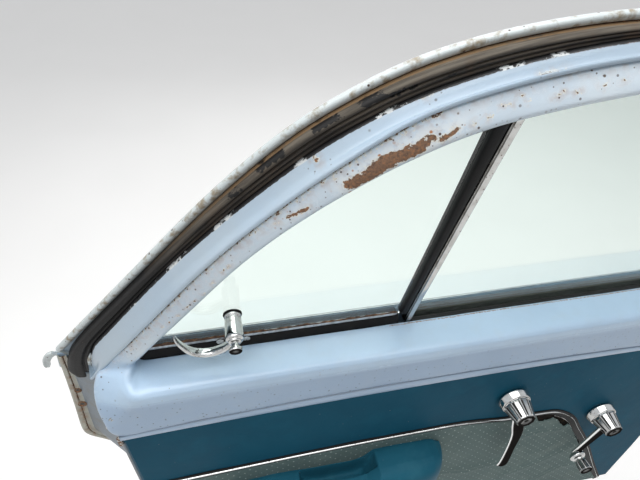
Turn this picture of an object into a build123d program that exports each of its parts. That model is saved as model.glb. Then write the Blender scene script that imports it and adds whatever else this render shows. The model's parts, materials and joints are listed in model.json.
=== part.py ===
from build123d import *
import os
from math import cos, sin, tan, radians

os.makedirs("parts", exist_ok=True)

# Rear side door of a family saloon, hung on its two hinges and standing open.
# Millimetres. +X runs forward to the hinges, +Y outward from the cabin, +Z up.
# The origin is the centre of the upper hinge's bolts, on the face that meets the
# door pillar. Every drawing plane below carries its own datum: the front edge of
# the trim panel, the face of the trim and the level of the window sill.

# Hinges, measured from the datum with the door shut
OPEN_ANGLE = 64.0
PIN_X, PIN_Y = 26.0, 58.0
UPPER_HINGE_Z, LOWER_HINGE_Z = -150.0, -560.0
LEAF_AHEAD, LEAF_INBOARD = 19.0, 30.0
LEAF_HEIGHT, LEAF_WIDTH, LEAF_THICK = 70.0, 42.0, 5.0
KNUCKLE_R, PIN_R, PIN_GAP = 8.0, 4.0, 0.05
KNUCKLE_HALF, KNUCKLE_PLAY = 14.5, 0.5
BOLT_CIRCLE, BOLT_R = 40.0, 4.25

# Door body, from the same datum
SILL_LIP_Y = 55.0
LEDGE_DROP, SEAM_Z = 9.0, -86.0
SHELL_Y, SHELL_THICK = 5.0, 2.0
JAMB_Y = 87.0
SKIN_THICK, HEM_THICK = 2.5, 2.5
SKIN_FRONT, SKIN_REAR, SKIN_BOTTOM = 36.0, -1145.0, -692.0
ARCH_X, ARCH_Z, ARCH_R = -1516.0, -609.0, 500.0
ARCH_CORNER = 22.0
SKIN_RAKE, JAMB_RAKE = 0.144, 0.105
SKIN_BELT_Y, SKIN_WIDE_Y, SKIN_FOOT_Y = 92.0, 112.0, 92.0
SKIN_WIDE_Z = -300.0
TRIM_REAR, TRIM_TOP, TRIM_BOTTOM, TRIM_ARCH_R = -1072.0, -100.0, -669.0, ARCH_R + 28

# Window frame: it leans inward by TILT above the sill
TILT = 12.0
BAR_FOOT, BAR_TOP, BAR_HALF = -636.0, -608.0, 11.0
GLASS_IN, GLASS_OUT = 65.0, 70.0
FLANGE_IN, FLANGE_OUT = 86.0, 92.0
BOX_MID, BOX_IN, BOX_TAPER = 66.0, 43.0, 26.0
GUSSET_TOP, GUSSET_TOP_Y, GUSSET_LONG = 46.0, 35.0, 80.0
HOOK_X = -1152.0

# Edges of the window frame as lines and arcs in its own leaning plane: the rear
# end's place, heading, straight length, three arcs as (radius, turn), the front
# leg's place at the sill and its corner's radius.
EDGES = {
    "flange": ((-1152, 6), 48.9, 323, ((1301, 5.9), (442, 31.0), (765, 12.0)), 30, 52),
    "box": ((-1094, 26), 51.4, 149, ((1468, 10.3), (438, 25.3), (756, 15.8)), 6, 38),
    "opening": ((-1016, 37), 51.9, 188, ((646, 25.6), (228, 12.4), (1000, 13.9)), -34, 34),
}
LEG_LEAN = 2.0
GROOVE, GLASS_GRIP = 10.0, 7.0
SEAL_DEPTH, SEAL_INSET = 16.0, 9.0
GLASS_FOOT, SILL_TOP, CHANNEL_TOP = -75.0, 13.0, 22.0
QUARTER_REAR = -1036.0

# Inner trim and its fittings as (X, Z)
STRIP_Z, STRIP_DROP_X, STRIP_BEND, STRIP_BEND_R = -246.0, -540.0, (-322.0, -260.0), 95.0
STRIP_SLOPE, STRIP_DIVE = 3.7, 58.5
STRIP_WIDTH, STRIP_THICK, INSERT_THICK = 9.0, 5.0, 2.0
REST_REAR, REST_FRONT, REST_DEEP = -960.0, -545.0, 66.0
REST_TOP, REST_STEP, REST_FOOT = -297.0, -274.0, -414.0
SCOOP_REAR, SCOOP_FRONT, SCOOP_NEAR, SCOOP_FAR = -812.0, -678.0, 33.0, 5.0
RELEASE, CRANK, KNOB = (-426.0, -181.0), (-196.0, -297.0), (-233.0, -393.0)
CATCH = (-894.0, 79.0)
PLATE_R, BOSS_R, BOSS_TIP_R, BOSS_FOOT, BOSS_REACH, BOSS_SIDES = 29.0, 22.0, 14.0, 16.0, 34.0, 10
HANDLE_X, HANDLE_Y, HANDLE_Z, HANDLE_LONG = -985.0, 124.0, -95.0, 150.0
LATCH_Y, LATCH_Z, PLATE_SINK, PLATE_PROUD = 30.0, -94.0, 0.8, 2.0
FOOT = -40.0


def turned(x, y, angle):
    """A point turned about the hinge pin, seen from above."""
    a = radians(angle)
    return x * cos(a) - y * sin(a), x * sin(a) + y * cos(a)


bolts_x, bolts_y = turned(LEAF_AHEAD, -LEAF_INBOARD, OPEN_ANGLE)
DATUM_X = -(PIN_X + bolts_x)
DATUM_Y = -(PIN_Y + bolts_y)
DATUM_Z = -UPPER_HINGE_Z
LEAN = cos(radians(TILT))


def face(y):
    """Upright plane along the door, drawn in (X, Z); it extrudes inboard."""
    return Plane(origin=(DATUM_X, DATUM_Y + y, DATUM_Z), x_dir=(1, 0, 0), z_dir=(0, -1, 0))


def across(x):
    """Upright plane across the door, drawn in (Y, Z); it extrudes forward."""
    return Plane(origin=(DATUM_X + x, DATUM_Y, DATUM_Z), x_dir=(0, 1, 0), z_dir=(1, 0, 0))


def level(z):
    """Flat plane, drawn in (X, Y); it extrudes upward."""
    return Plane(origin=(DATUM_X, DATUM_Y, DATUM_Z + z), x_dir=(1, 0, 0), z_dir=(0, 0, 1))


def leaned(y):
    """Plane of the window, leaning inward; y is where it meets the sill."""
    normal = (0, -cos(radians(TILT)), -sin(radians(TILT)))
    return Plane(origin=(DATUM_X, DATUM_Y + y, DATUM_Z), x_dir=(1, 0, 0), z_dir=normal)


def save(piece, name):
    """Label a finished piece and write it."""
    piece.part.label = name
    export_step(piece.part, f"parts/{name}.step")


def arch_face(edge, grow=0.0, foot=FOOT):
    """Face inside one closed edge of the window frame."""
    start, heading, straight, arcs, front, corner = EDGES[edge]
    way = Vector(cos(radians(heading)), sin(radians(heading)))
    low = Vector(*start) + way * ((foot - start[1]) / way.Y)
    lean = tan(radians(LEG_LEAN))
    with BuildSketch() as drawn:
        with BuildLine():
            last = Line(low, Vector(*start) + way * straight)
            for radius, turn in arcs:
                last = JernArc(last @ 1, last % 1, radius, -turn)
            top = last @ 1
            tangent_x = corner * tan(radians(45 - LEG_LEAN / 2))
            last = Line(top, (front - top.Y * lean - tangent_x, top.Y))
            last = JernArc(last @ 1, (1, 0), corner, -90 + LEG_LEAN)
            last = Line(last @ 1, (front - foot * lean, foot))
            Line(last @ 1, low)
        make_face()
        if grow:
            offset(amount=grow, kind=Kind.INTERSECTION, mode=Mode.REPLACE)
    return drawn.sketch


def arch_start(rear, rake, radius):
    """Where the rear edge, which runs back by rake as it goes down, meets the wheel arch."""
    ahead = rear - ARCH_X
    square, slope = 1 + rake ** 2, rake * ahead - ARCH_Z
    z = (-slope + (slope ** 2 - square * (ahead ** 2 + ARCH_Z ** 2 - radius ** 2)) ** 0.5) / square
    return rear + rake * z, z


def door_face(front, bottom, rear, rake, radius, top, corner):
    """Face of the door below the sill, cut by the wheel arch."""
    foot = ARCH_X + (radius ** 2 - (bottom - ARCH_Z) ** 2) ** 0.5
    start = arch_start(rear, rake, radius)
    high = (rear + rake * top, top)
    middle = radians(18)
    via = (ARCH_X + radius * cos(middle), ARCH_Z + radius * sin(middle))
    with BuildSketch() as drawn:
        with BuildLine():
            Line(high, (front, top))
            Line((front, top), (front, bottom + corner))
            RadiusArc((front, bottom + corner), (front - corner, bottom), corner)
            Line((front - corner, bottom), (foot, bottom))
            ThreePointArc((foot, bottom), via, start)
            Line(start, high)
        make_face()
        fillet(drawn.vertices().sort_by_distance(start)[0], ARCH_CORNER)
    return drawn.sketch


def side_face(shift, inner=-60.0):
    """Face inboard of the outer skin's curve, moved by shift."""
    wide = (SKIN_WIDE_Y + shift, SKIN_WIDE_Z)
    top = (SKIN_BELT_Y + shift, 0)
    foot = (SKIN_FOOT_Y + shift, SKIN_BOTTOM)
    with BuildSketch() as drawn:
        with BuildLine():
            TangentArc([wide, top], tangent=(0, 1))
            TangentArc([wide, foot], tangent=(0, -1))
            Line(top, (inner, 0))
            Line((inner, 0), (inner, SKIN_BOTTOM))
            Line((inner, SKIN_BOTTOM), foot)
        make_face()
    return drawn.sketch


# Outer skin: one pressing, curved from sill to foot
DOOR_LENGTH = SKIN_FRONT - SKIN_REAR + 20
with BuildPart() as outer_skin:
    with BuildSketch(across(SKIN_REAR - 10)):
        add(side_face(0))
    extrude(amount=DOOR_LENGTH)
    with BuildSketch(across(SKIN_REAR - 10)):
        add(side_face(-SKIN_THICK))
    extrude(amount=DOOR_LENGTH, mode=Mode.SUBTRACT)
    with BuildSketch(face(SKIN_WIDE_Y + 20)):
        add(door_face(SKIN_FRONT, SKIN_BOTTOM, SKIN_REAR, SKIN_RAKE, ARCH_R, 0, 26))
    extrude(amount=200, mode=Mode.INTERSECT)
save(outer_skin, "outer_skin")

# Inner shell: a tray whose walls are the jambs, with a flange hemmed to the skin
TRAY_IN = (3.0, -673.0, -1077.0, 0.0, ARCH_R + 24)
TRAY_OUT = (6.0, -680.0, -1127.0, JAMB_RAKE, ARCH_R + 13)
STEP_Y = 58.0
step_share = (STEP_Y - SHELL_Y) / (JAMB_Y - SHELL_Y)
# Halfway out the rear jamb bends from nearly square to a slope; the front and the bottom stay flat
TRAY_STEP = (TRAY_IN[0] + step_share * (TRAY_OUT[0] - TRAY_IN[0]),
             TRAY_IN[1] + step_share * (TRAY_OUT[1] - TRAY_IN[1]), -1083.0, 0.0, ARCH_R + 18)


def tray_face(edges, wall):
    """One section of the tray, or of its hollow where wall is its thickness."""
    front, bottom, rear, rake, radius = edges
    return door_face(front - wall, bottom + wall, rear + wall, rake, radius + wall, 5 * wall, 20)


with BuildPart() as hem:
    with BuildSketch(across(SKIN_REAR - 10)):
        add(side_face(-SKIN_THICK))
    extrude(amount=DOOR_LENGTH)
    with BuildSketch(across(SKIN_REAR - 10)):
        add(side_face(-SKIN_THICK - HEM_THICK))
    extrude(amount=DOOR_LENGTH, mode=Mode.SUBTRACT)
    with BuildSketch(face(SKIN_WIDE_Y + 20)):
        add(door_face(SKIN_FRONT, SKIN_BOTTOM, SKIN_REAR, SKIN_RAKE, ARCH_R, 0, 26))
        add(tray_face(TRAY_OUT, 1), mode=Mode.SUBTRACT)
    extrude(amount=200, mode=Mode.INTERSECT)

with BuildPart() as inner_shell:
    for mode, wall in ((Mode.ADD, 0.0), (Mode.SUBTRACT, SHELL_THICK)):
        with BuildSketch(face(SHELL_Y + wall)):
            add(tray_face(TRAY_IN, wall))
        with BuildSketch(face(STEP_Y)):
            add(tray_face(TRAY_STEP, wall))
        with BuildSketch(face(JAMB_Y)):
            add(tray_face(TRAY_OUT, wall))
        loft(ruled=True, mode=mode)
        with BuildSketch(face(JAMB_Y)):
            add(tray_face(TRAY_OUT, wall))
        extrude(amount=-80, mode=mode)
    with BuildSketch(across(SKIN_REAR - 10)):
        add(side_face(-SKIN_THICK))
    extrude(amount=DOOR_LENGTH, mode=Mode.INTERSECT)
    add(hem.part)
    # Room for the sill ledge, which lies along the inner edge of the slot
    with BuildSketch(across(TRAY_IN[2] - 20)):
        with Locations(((SILL_LIP_Y + SHELL_Y) / 2 - 5, -LEDGE_DROP / 2)):
            Rectangle(SILL_LIP_Y - SHELL_Y + 10, LEDGE_DROP)
    extrude(amount=1200, mode=Mode.SUBTRACT)
save(inner_shell, "inner_shell")

# Waist rail: the ledge beside the slot, a rounded edge, the painted face and its seam
with BuildPart() as waist_rail:
    with BuildSketch(across(TRAY_IN[2])):
        with BuildLine():
            Polyline((SILL_LIP_Y, 0), (8, -5), (1, -14), (0, -24), (0, SEAM_Z + 2), (2, SEAM_Z),
                     (0, SEAM_Z - 2), (0, TRIM_TOP), (SHELL_Y, TRIM_TOP), (SHELL_Y, -LEDGE_DROP),
                     (SILL_LIP_Y, -LEDGE_DROP), close=True)
        make_face()
    extrude(amount=TRAY_IN[0] - TRAY_IN[2])
save(waist_rail, "waist_rail")

# Window frame: a flat flange, a box rail inboard of it and the groove for the glass
with BuildPart() as opening_cut:
    with BuildSketch(leaned(SILL_LIP_Y)):
        add(arch_face("opening"))
    extrude(amount=60, both=True)
    with BuildSketch(leaned(GLASS_OUT + 4)):
        add(arch_face("opening", GROOVE))
    extrude(amount=(GLASS_OUT - GLASS_IN + 8) * LEAN)

# Gusset: the frame's rear foot runs out inboard over the sill ledge
with BuildPart() as gusset:
    with BuildSketch(leaned(BOX_IN + 2)):
        add(arch_face("box"))
        add(arch_face("opening"), mode=Mode.SUBTRACT)
    extrude(amount=60)
    with BuildSketch(across(TRAY_IN[2])):
        with BuildLine():
            Polyline((12, 0), (GUSSET_TOP_Y, GUSSET_TOP), (BOX_IN + 10, GUSSET_TOP), (BOX_IN + 10, 0),
                     close=True)
        make_face()
    extrude(amount=GUSSET_LONG, mode=Mode.INTERSECT)

with BuildPart() as window_frame:
    with BuildSketch(leaned(FLANGE_IN)):
        add(arch_face("flange"))
    extrude(amount=-(FLANGE_OUT - FLANGE_IN) * LEAN)
    with BuildSketch(leaned(BOX_MID)):
        add(arch_face("box"))
    extrude(amount=-(FLANGE_IN - BOX_MID) * LEAN)
    with BuildSketch(leaned(BOX_MID)):
        add(arch_face("box"))
    extrude(amount=(BOX_MID - BOX_IN) * LEAN, taper=BOX_TAPER)
    add(opening_cut.part, mode=Mode.SUBTRACT)
    split(bisect_by=level(0), keep=Keep.TOP)
    add(gusset.part)
    # The flange ends in a small hook that turns down behind the skin's rear edge
    with BuildSketch(leaned(FLANGE_IN)):
        with BuildLine():
            root, heel, tip, back = (HOOK_X, 4), (HOOK_X - 1, -4), (HOOK_X - 13, -31), (HOOK_X - 22, -28)
            Polyline(root, heel, (HOOK_X - 10, -13), tip, back)
            ThreePointArc(back, (HOOK_X - 20, -9), (HOOK_X - 12, 1))
            Line((HOOK_X - 12, 1), root)
        make_face()
    extrude(amount=-(FLANGE_OUT - FLANGE_IN) * LEAN)
save(window_frame, "window_frame")

# Frame seal: the rubber that lies in the corner of the flange and the box rail
with BuildPart() as frame_seal:
    with BuildSketch(leaned(FLANGE_IN)):
        add(arch_face("flange", -SEAL_INSET))
    extrude(amount=SEAL_DEPTH * LEAN)
    with BuildSketch(leaned(BOX_MID)):
        add(arch_face("box"))
    extrude(amount=-40, both=True, mode=Mode.SUBTRACT)
    split(bisect_by=level(0), keep=Keep.TOP)
save(frame_seal, "frame_seal")


def bar_face(low, high, top=440.0):
    """Strip along the division bar, between two offsets ahead of its middle line."""
    lean_x = (BAR_TOP - BAR_FOOT) / 380
    with BuildSketch() as drawn:
        with BuildLine():
            Polyline((BAR_FOOT + low, 0), (BAR_FOOT + high, 0), (BAR_FOOT + high + lean_x * top, top),
                     (BAR_FOOT + low + lean_x * top, top), close=True)
        make_face()
    return drawn.sketch


def pane_face(low, high, foot):
    """Glass outline between two offsets ahead of the division bar, down to foot."""
    lean_x = (BAR_TOP - BAR_FOOT) / 380
    with BuildSketch() as drawn:
        add(arch_face("opening", GLASS_GRIP, foot))
        with BuildLine():
            Polyline((BAR_FOOT + low + lean_x * foot, foot), (BAR_FOOT + high + lean_x * foot, foot),
                     (BAR_FOOT + high + lean_x * 500, 500), (BAR_FOOT + low + lean_x * 500, 500),
                     close=True)
        make_face(mode=Mode.INTERSECT)
    return drawn.sketch


# Panes: the main glass runs down into the slot, the quarter glass stands on its channel
with BuildPart() as main_glass:
    with BuildSketch(leaned(GLASS_OUT)):
        add(pane_face(BAR_HALF, 700, GLASS_FOOT))
    extrude(amount=(GLASS_OUT - GLASS_IN) * LEAN)
save(main_glass, "main_glass")

with BuildPart() as quarter_glass:
    with BuildSketch(leaned(GLASS_OUT)):
        add(pane_face(-500, -BAR_HALF, CHANNEL_TOP - 4))
    extrude(amount=(GLASS_OUT - GLASS_IN) * LEAN)
save(quarter_glass, "quarter_glass")

# Division bar: a chromed channel ahead and a rubber strip behind
for name, low, high in (("division_bar", -1.0, BAR_HALF), ("division_rubber", -BAR_HALF, -1.0)):
    with BuildPart() as bar:
        for depth in (-6, GLASS_OUT - GLASS_IN + 10):
            with BuildSketch(leaned(GLASS_OUT)):
                add(bar_face(low, high))
            extrude(amount=depth * LEAN)
        with BuildSketch(leaned(SILL_LIP_Y)):
            add(arch_face("opening"))
        extrude(amount=60, both=True, mode=Mode.INTERSECT)
        split(bisect_by=level(CHANNEL_TOP if high < 0 else 0), keep=Keep.TOP)
    save(bar, name)
division_rubber_part = bar.part

# Sill of the quarter light: a rubber block over the slot and the chromed channel on it
with BuildPart() as quarter_sill:
    with BuildSketch(across(QUARTER_REAR)):
        with BuildLine():
            Polyline((SILL_LIP_Y, -16), (88, -16), (88, 6), (80, SILL_TOP), (60, SILL_TOP), (SILL_LIP_Y, 5),
                     close=True)
        make_face()
    extrude(amount=BAR_FOOT - BAR_HALF - QUARTER_REAR)
save(quarter_sill, "quarter_sill_rubber")

# Rubber run in the frame's groove, open where the two panes and the bar stand
with BuildPart() as glass_run:
    with BuildSketch(leaned(GLASS_OUT + 4)):
        add(arch_face("opening", GROOVE))
        add(arch_face("opening", -2), mode=Mode.SUBTRACT)
    extrude(amount=(GLASS_OUT - GLASS_IN + 8) * LEAN)
    with BuildSketch(leaned(GLASS_OUT)):
        add(bar_face(-BAR_HALF, BAR_HALF, 520))
    extrude(amount=60, both=True, mode=Mode.SUBTRACT)
    add(main_glass.part, mode=Mode.SUBTRACT)
    add(quarter_glass.part, mode=Mode.SUBTRACT)
    add(quarter_sill.part, mode=Mode.SUBTRACT)
    split(bisect_by=level(0), keep=Keep.TOP)
save(glass_run, "glass_run")

# Bright channel that carries the foot of the quarter glass
with BuildPart() as quarter_channel:
    with BuildSketch(face(74)):
        with Locations(((QUARTER_REAR + BAR_FOOT - BAR_HALF) / 2 + 8, (SILL_TOP + CHANNEL_TOP) / 2)):
            Rectangle(BAR_FOOT - BAR_HALF - QUARTER_REAR - 16, CHANNEL_TOP - SILL_TOP)
    extrude(amount=14)
    add(quarter_glass.part, mode=Mode.SUBTRACT)
    add(division_rubber_part, mode=Mode.SUBTRACT)
    with BuildSketch(leaned(SILL_LIP_Y)):
        add(arch_face("opening", -1))
    extrude(amount=60, both=True, mode=Mode.INTERSECT)
save(quarter_channel, "quarter_channel")

# Felt strips that wipe the main glass on both sides of the slot
FELT_X, FELT_LENGTH = BAR_FOOT + BAR_HALF + 1, -(BAR_FOOT + BAR_HALF) - 40
for name, y, width in (("inner_felt", SILL_LIP_Y, 8.0), ("outer_felt", 75.0, 14.0)):
    with BuildPart() as felt:
        with BuildSketch(across(FELT_X)):
            with Locations((y, -16)):
                Rectangle(width, 19, align=(Align.MIN, Align.MIN))
        extrude(amount=FELT_LENGTH)
    save(felt, name)

# Outer waist moulding and side moulding, bright half-round strips on the skin
with BuildPart() as waist_moulding:
    with BuildSketch(across(SKIN_REAR + 6)):
        with BuildLine():
            low = (SKIN_BELT_Y + 2.2, -14)
            Polyline(low, (SKIN_BELT_Y + 0.2, 0), (SKIN_BELT_Y - 2, 8))
            ThreePointArc((SKIN_BELT_Y - 2, 8), (SKIN_BELT_Y + 7, 0), low)
        make_face()
    extrude(amount=SKIN_FRONT - SKIN_REAR - 12)
    add(outer_skin.part, mode=Mode.SUBTRACT)
    add(window_frame.part, mode=Mode.SUBTRACT)
save(waist_moulding, "waist_moulding")

with BuildPart() as side_moulding:
    with BuildSketch(across(SKIN_REAR + 30)):
        with BuildLine():
            Line((SKIN_WIDE_Y - 1, SKIN_WIDE_Z + 12), (SKIN_WIDE_Y - 1, SKIN_WIDE_Z - 12))
            ThreePointArc((SKIN_WIDE_Y - 1, SKIN_WIDE_Z - 12), (SKIN_WIDE_Y + 7, SKIN_WIDE_Z),
                          (SKIN_WIDE_Y - 1, SKIN_WIDE_Z + 12))
        make_face()
    extrude(amount=SKIN_FRONT - SKIN_REAR - 36)
    with BuildSketch(face(SKIN_WIDE_Y + 20)):
        add(door_face(SKIN_FRONT - 4, SKIN_BOTTOM, SKIN_REAR + 4, SKIN_RAKE, ARCH_R + 4, 0, 26))
    extrude(amount=200, mode=Mode.INTERSECT)
    add(outer_skin.part, mode=Mode.SUBTRACT)
save(side_moulding, "side_moulding")

# Trim panel, its paler insert and the bright strip between them
def insert_face(grow):
    """Face of the insert, below and behind the strip; grow moves the strip's edge."""
    cos_d, sin_d = cos(radians(STRIP_DIVE)), sin(radians(STRIP_DIVE))
    with BuildSketch() as drawn:
        with BuildLine():
            start = (TRIM_REAR - 10, STRIP_Z + grow)
            last = Polyline(start, (STRIP_DROP_X, STRIP_Z + grow), (STRIP_BEND[0], STRIP_BEND[1] + grow))
            last = JernArc(last @ 1, last % 1, STRIP_BEND_R + grow, STRIP_SLOPE - STRIP_DIVE)
            last = Line(last @ 1, last @ 1 + Vector(cos_d, -sin_d) * 700)
            Polyline(last @ 1, (TRIM_REAR - 10, (last @ 1).Y), start)
        make_face()
        add(door_face(0, TRIM_BOTTOM, TRIM_REAR, 0, TRIM_ARCH_R, TRIM_TOP, 12), mode=Mode.INTERSECT)
    return drawn.sketch


with BuildPart() as trim_panel:
    with BuildSketch(face(SHELL_Y)):
        add(door_face(0, TRIM_BOTTOM, TRIM_REAR, 0, TRIM_ARCH_R, TRIM_TOP, 12))
    extrude(amount=SHELL_Y)
save(trim_panel, "trim_panel")

with BuildPart() as trim_insert:
    with BuildSketch(face(0)):
        add(insert_face(-STRIP_WIDTH / 2))
    extrude(amount=INSERT_THICK)
save(trim_insert, "trim_insert")

with BuildPart() as trim_strip:
    with BuildSketch(face(0)):
        add(insert_face(STRIP_WIDTH / 2))
        add(insert_face(-STRIP_WIDTH / 2), mode=Mode.SUBTRACT)
    extrude(amount=STRIP_THICK)
save(trim_strip, "trim_strip")

# Armrest: a padded block, lower behind, with a scoop in its top for the hand
with BuildPart() as armrest:
    with BuildSketch(face(-INSERT_THICK)):
        with BuildLine():
            Polyline((REST_REAR, REST_TOP - 18), (REST_REAR + 22, REST_TOP), (SCOOP_FRONT - 22, REST_TOP - 3),
                     (SCOOP_FRONT, REST_STEP), (REST_FRONT - 29, REST_STEP),
                     (REST_FRONT - 15, REST_STEP - 12), (REST_FRONT, REST_FOOT + 14),
                     (REST_FRONT - 11, REST_FOOT), (REST_REAR + 34, REST_FOOT),
                     (REST_REAR + 8, REST_FOOT + 16), close=True)
        make_face()
    extrude(amount=REST_DEEP)
    fillet(armrest.faces().sort_by(Axis.Y)[0].edges(), 14)
    with BuildSketch(level(REST_TOP - 36)):
        with Locations(((SCOOP_REAR + SCOOP_FRONT) / 2, -(SCOOP_NEAR + SCOOP_FAR) / 2)):
            RectangleRounded(SCOOP_FRONT - SCOOP_REAR, SCOOP_NEAR - SCOOP_FAR, 11)
    extrude(amount=80, mode=Mode.SUBTRACT)
save(armrest, "armrest")


def turned_piece(name, centre, profile):
    """A round piece standing inboard from (x, z): its profile is (radius, y) points."""
    foot = (DATUM_X + centre[0], DATUM_Y, DATUM_Z + centre[1])
    with BuildPart() as piece:
        with BuildSketch(Plane(origin=foot, x_dir=(1, 0, 0), z_dir=(0, 0, 1))):
            with BuildLine():
                Polyline((0, profile[0][1]), *profile, (0, profile[-1][1]), close=True)
            make_face()
        revolve(axis=Axis(foot, (0, 1, 0)))
    save(piece, name)


# Window crank and release lever: a round plate each, a faceted boss and a bent arm
PLATE = ((PLATE_R - 5, 0), (PLATE_R, -3), (PLATE_R, -12), (PLATE_R - 3, -BOSS_FOOT))
turned_piece("crank_escutcheon", CRANK, PLATE)
turned_piece("release_escutcheon", RELEASE, PLATE)


def boss_face(centre, radius):
    """Faceted outline of a boss about its spindle."""
    with BuildSketch() as drawn:
        with Locations(centre):
            RegularPolygon(radius, BOSS_SIDES)
    return drawn.sketch


def arm_face(line):
    """Outline of an arm from (x, z, half width) places along its middle, nearly upright."""
    with BuildSketch() as drawn:
        with BuildLine():
            Polyline(*[(x + half, z) for x, z, half in line],
                     *[(x - half, z) for x, z, half in reversed(line)], close=True)
        make_face()
    return drawn.sketch


CRANK_LINE = ((CRANK[0] - 2, CRANK[1] - 6, 12), (KNOB[0], KNOB[1], 8))
RELEASE_LINE = ((RELEASE[0] + 2, RELEASE[1] - 8, 12), (-411, -252, 11), (-410, -300, 9), (-409, -362, 11))
for name, centre, line in (("crank_arm", CRANK, CRANK_LINE), ("release_lever", RELEASE, RELEASE_LINE)):
    with BuildPart() as handle:
        for height, radius in ((BOSS_FOOT, BOSS_R), (BOSS_FOOT + BOSS_REACH, BOSS_TIP_R)):
            with BuildSketch(face(-height)):
                add(boss_face(centre, radius))
        loft(ruled=True)
        with BuildSketch(face(-BOSS_FOOT - 14)):
            add(arm_face(line))
            if name == "crank_arm":
                with Locations(KNOB):
                    Circle(10)
        extrude(amount=9)
    save(handle, name)

KNOB_PROFILE = ((6, -39), (15, -41), (16, -46), (12, -49), (9, -51), (12, -56), (12, -70), (8, -74))
turned_piece("crank_knob", KNOB, KNOB_PROFILE)

# Quarter light catch: a boss bolted through the glass, a push button and a hooked arm
CATCH_RINGS = ((14, 5), (11.5, 39), (5, 50), (8, 56))
with BuildPart() as catch_boss:
    last_reach = 0
    for radius, reach in CATCH_RINGS:
        with BuildSketch(leaned(GLASS_IN).offset(last_reach)):
            with Locations((CATCH[0], CATCH[1] / LEAN)):
                Circle(radius)
        extrude(amount=reach - last_reach)
        last_reach = reach
save(catch_boss, "catch_boss")

with BuildPart() as catch_lever:
    with BuildSketch(leaned(GLASS_IN).offset(CATCH_RINGS[1][1] - 9)):
        with BuildLine():
            root_low, root_high = (CATCH[0] - 3, 56), (CATCH[0] - 5, 66)
            heel_out, heel_in = (-958, 54), (-951, 60)
            tip_out, tip_in = (-968, 97), (-965, 97)
            ThreePointArc(root_low, (-928, 38), heel_out)
            ThreePointArc(heel_out, (-966, 74), tip_out)
            Line(tip_out, tip_in)
            ThreePointArc(tip_in, (-959, 76), heel_in)
            ThreePointArc(heel_in, (-928, 47), root_high)
            Line(root_high, root_low)
        make_face()
    extrude(amount=8)
    add(catch_boss.part, mode=Mode.SUBTRACT)
save(catch_lever, "catch_lever")

# Lock on the rear jamb's square part: a plate and its toothed rotor
jamb_slope = (TRAY_IN[2] - TRAY_STEP[2]) / (STEP_Y - SHELL_Y)
LATCH_X = TRAY_IN[2] - jamb_slope * (LATCH_Y - SHELL_Y)
lock_plane = Plane(origin=(DATUM_X + LATCH_X, DATUM_Y + LATCH_Y, DATUM_Z + LATCH_Z),
                   x_dir=Vector(-jamb_slope, 1, 0), z_dir=Vector(-1, -jamb_slope, 0))
with BuildPart() as latch_plate:
    with BuildSketch(lock_plane.offset(-PLATE_SINK)):
        RectangleRounded(34, 58, 5)
        with Locations((-10, 21), (10, 21), (0, -22)):
            Circle(2.4, mode=Mode.SUBTRACT)
    extrude(amount=PLATE_SINK + PLATE_PROUD)
    add(inner_shell.part, mode=Mode.SUBTRACT)
save(latch_plate, "latch_plate")

with BuildPart() as latch_rotor:
    with BuildSketch(lock_plane.offset(PLATE_PROUD)):
        Circle(8)
        with PolarLocations(8.5, 6):
            Rectangle(5, 4)
    extrude(amount=12)
save(latch_rotor, "latch_rotor")

# Outer handle: a grip on two feet and the push button at its rear end
with BuildPart() as outer_handle:
    with BuildSketch(face(HANDLE_Y)):
        with Locations((HANDLE_X, HANDLE_Z)):
            RectangleRounded(HANDLE_LONG, 20, 8)
    extrude(amount=-12)
    fillet(outer_handle.faces().sort_by(Axis.Y)[-1].edges(), 3)
    with BuildSketch(face(HANDLE_Y + 2)):
        with Locations((HANDLE_X - 58, HANDLE_Z), (HANDLE_X + 60, HANDLE_Z)):
            RectangleRounded(28, 16, 6)
    extrude(amount=60)
    with BuildSketch(across(HANDLE_X - 200)):
        add(side_face(0))
    extrude(amount=400, mode=Mode.SUBTRACT)
save(outer_handle, "outer_handle")

with BuildPart() as handle_button:
    with BuildSketch(face(HANDLE_Y - 12)):
        with Locations((HANDLE_X - 90, HANDLE_Z)):
            Circle(11)
    extrude(amount=40)
    with BuildSketch(across(HANDLE_X - 200)):
        add(side_face(0))
    extrude(amount=400, mode=Mode.SUBTRACT)
save(handle_button, "handle_button")

# Corner bracket: a small tab hanging at the rear top corner of the trim
with BuildPart() as corner_bracket:
    with BuildSketch(face(SHELL_Y)):
        with Locations((TRAY_IN[2] + 1, TRIM_TOP - 12)):
            RectangleRounded(6, 22, 2)
    extrude(amount=2.5)
save(corner_bracket, "corner_bracket")

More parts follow.
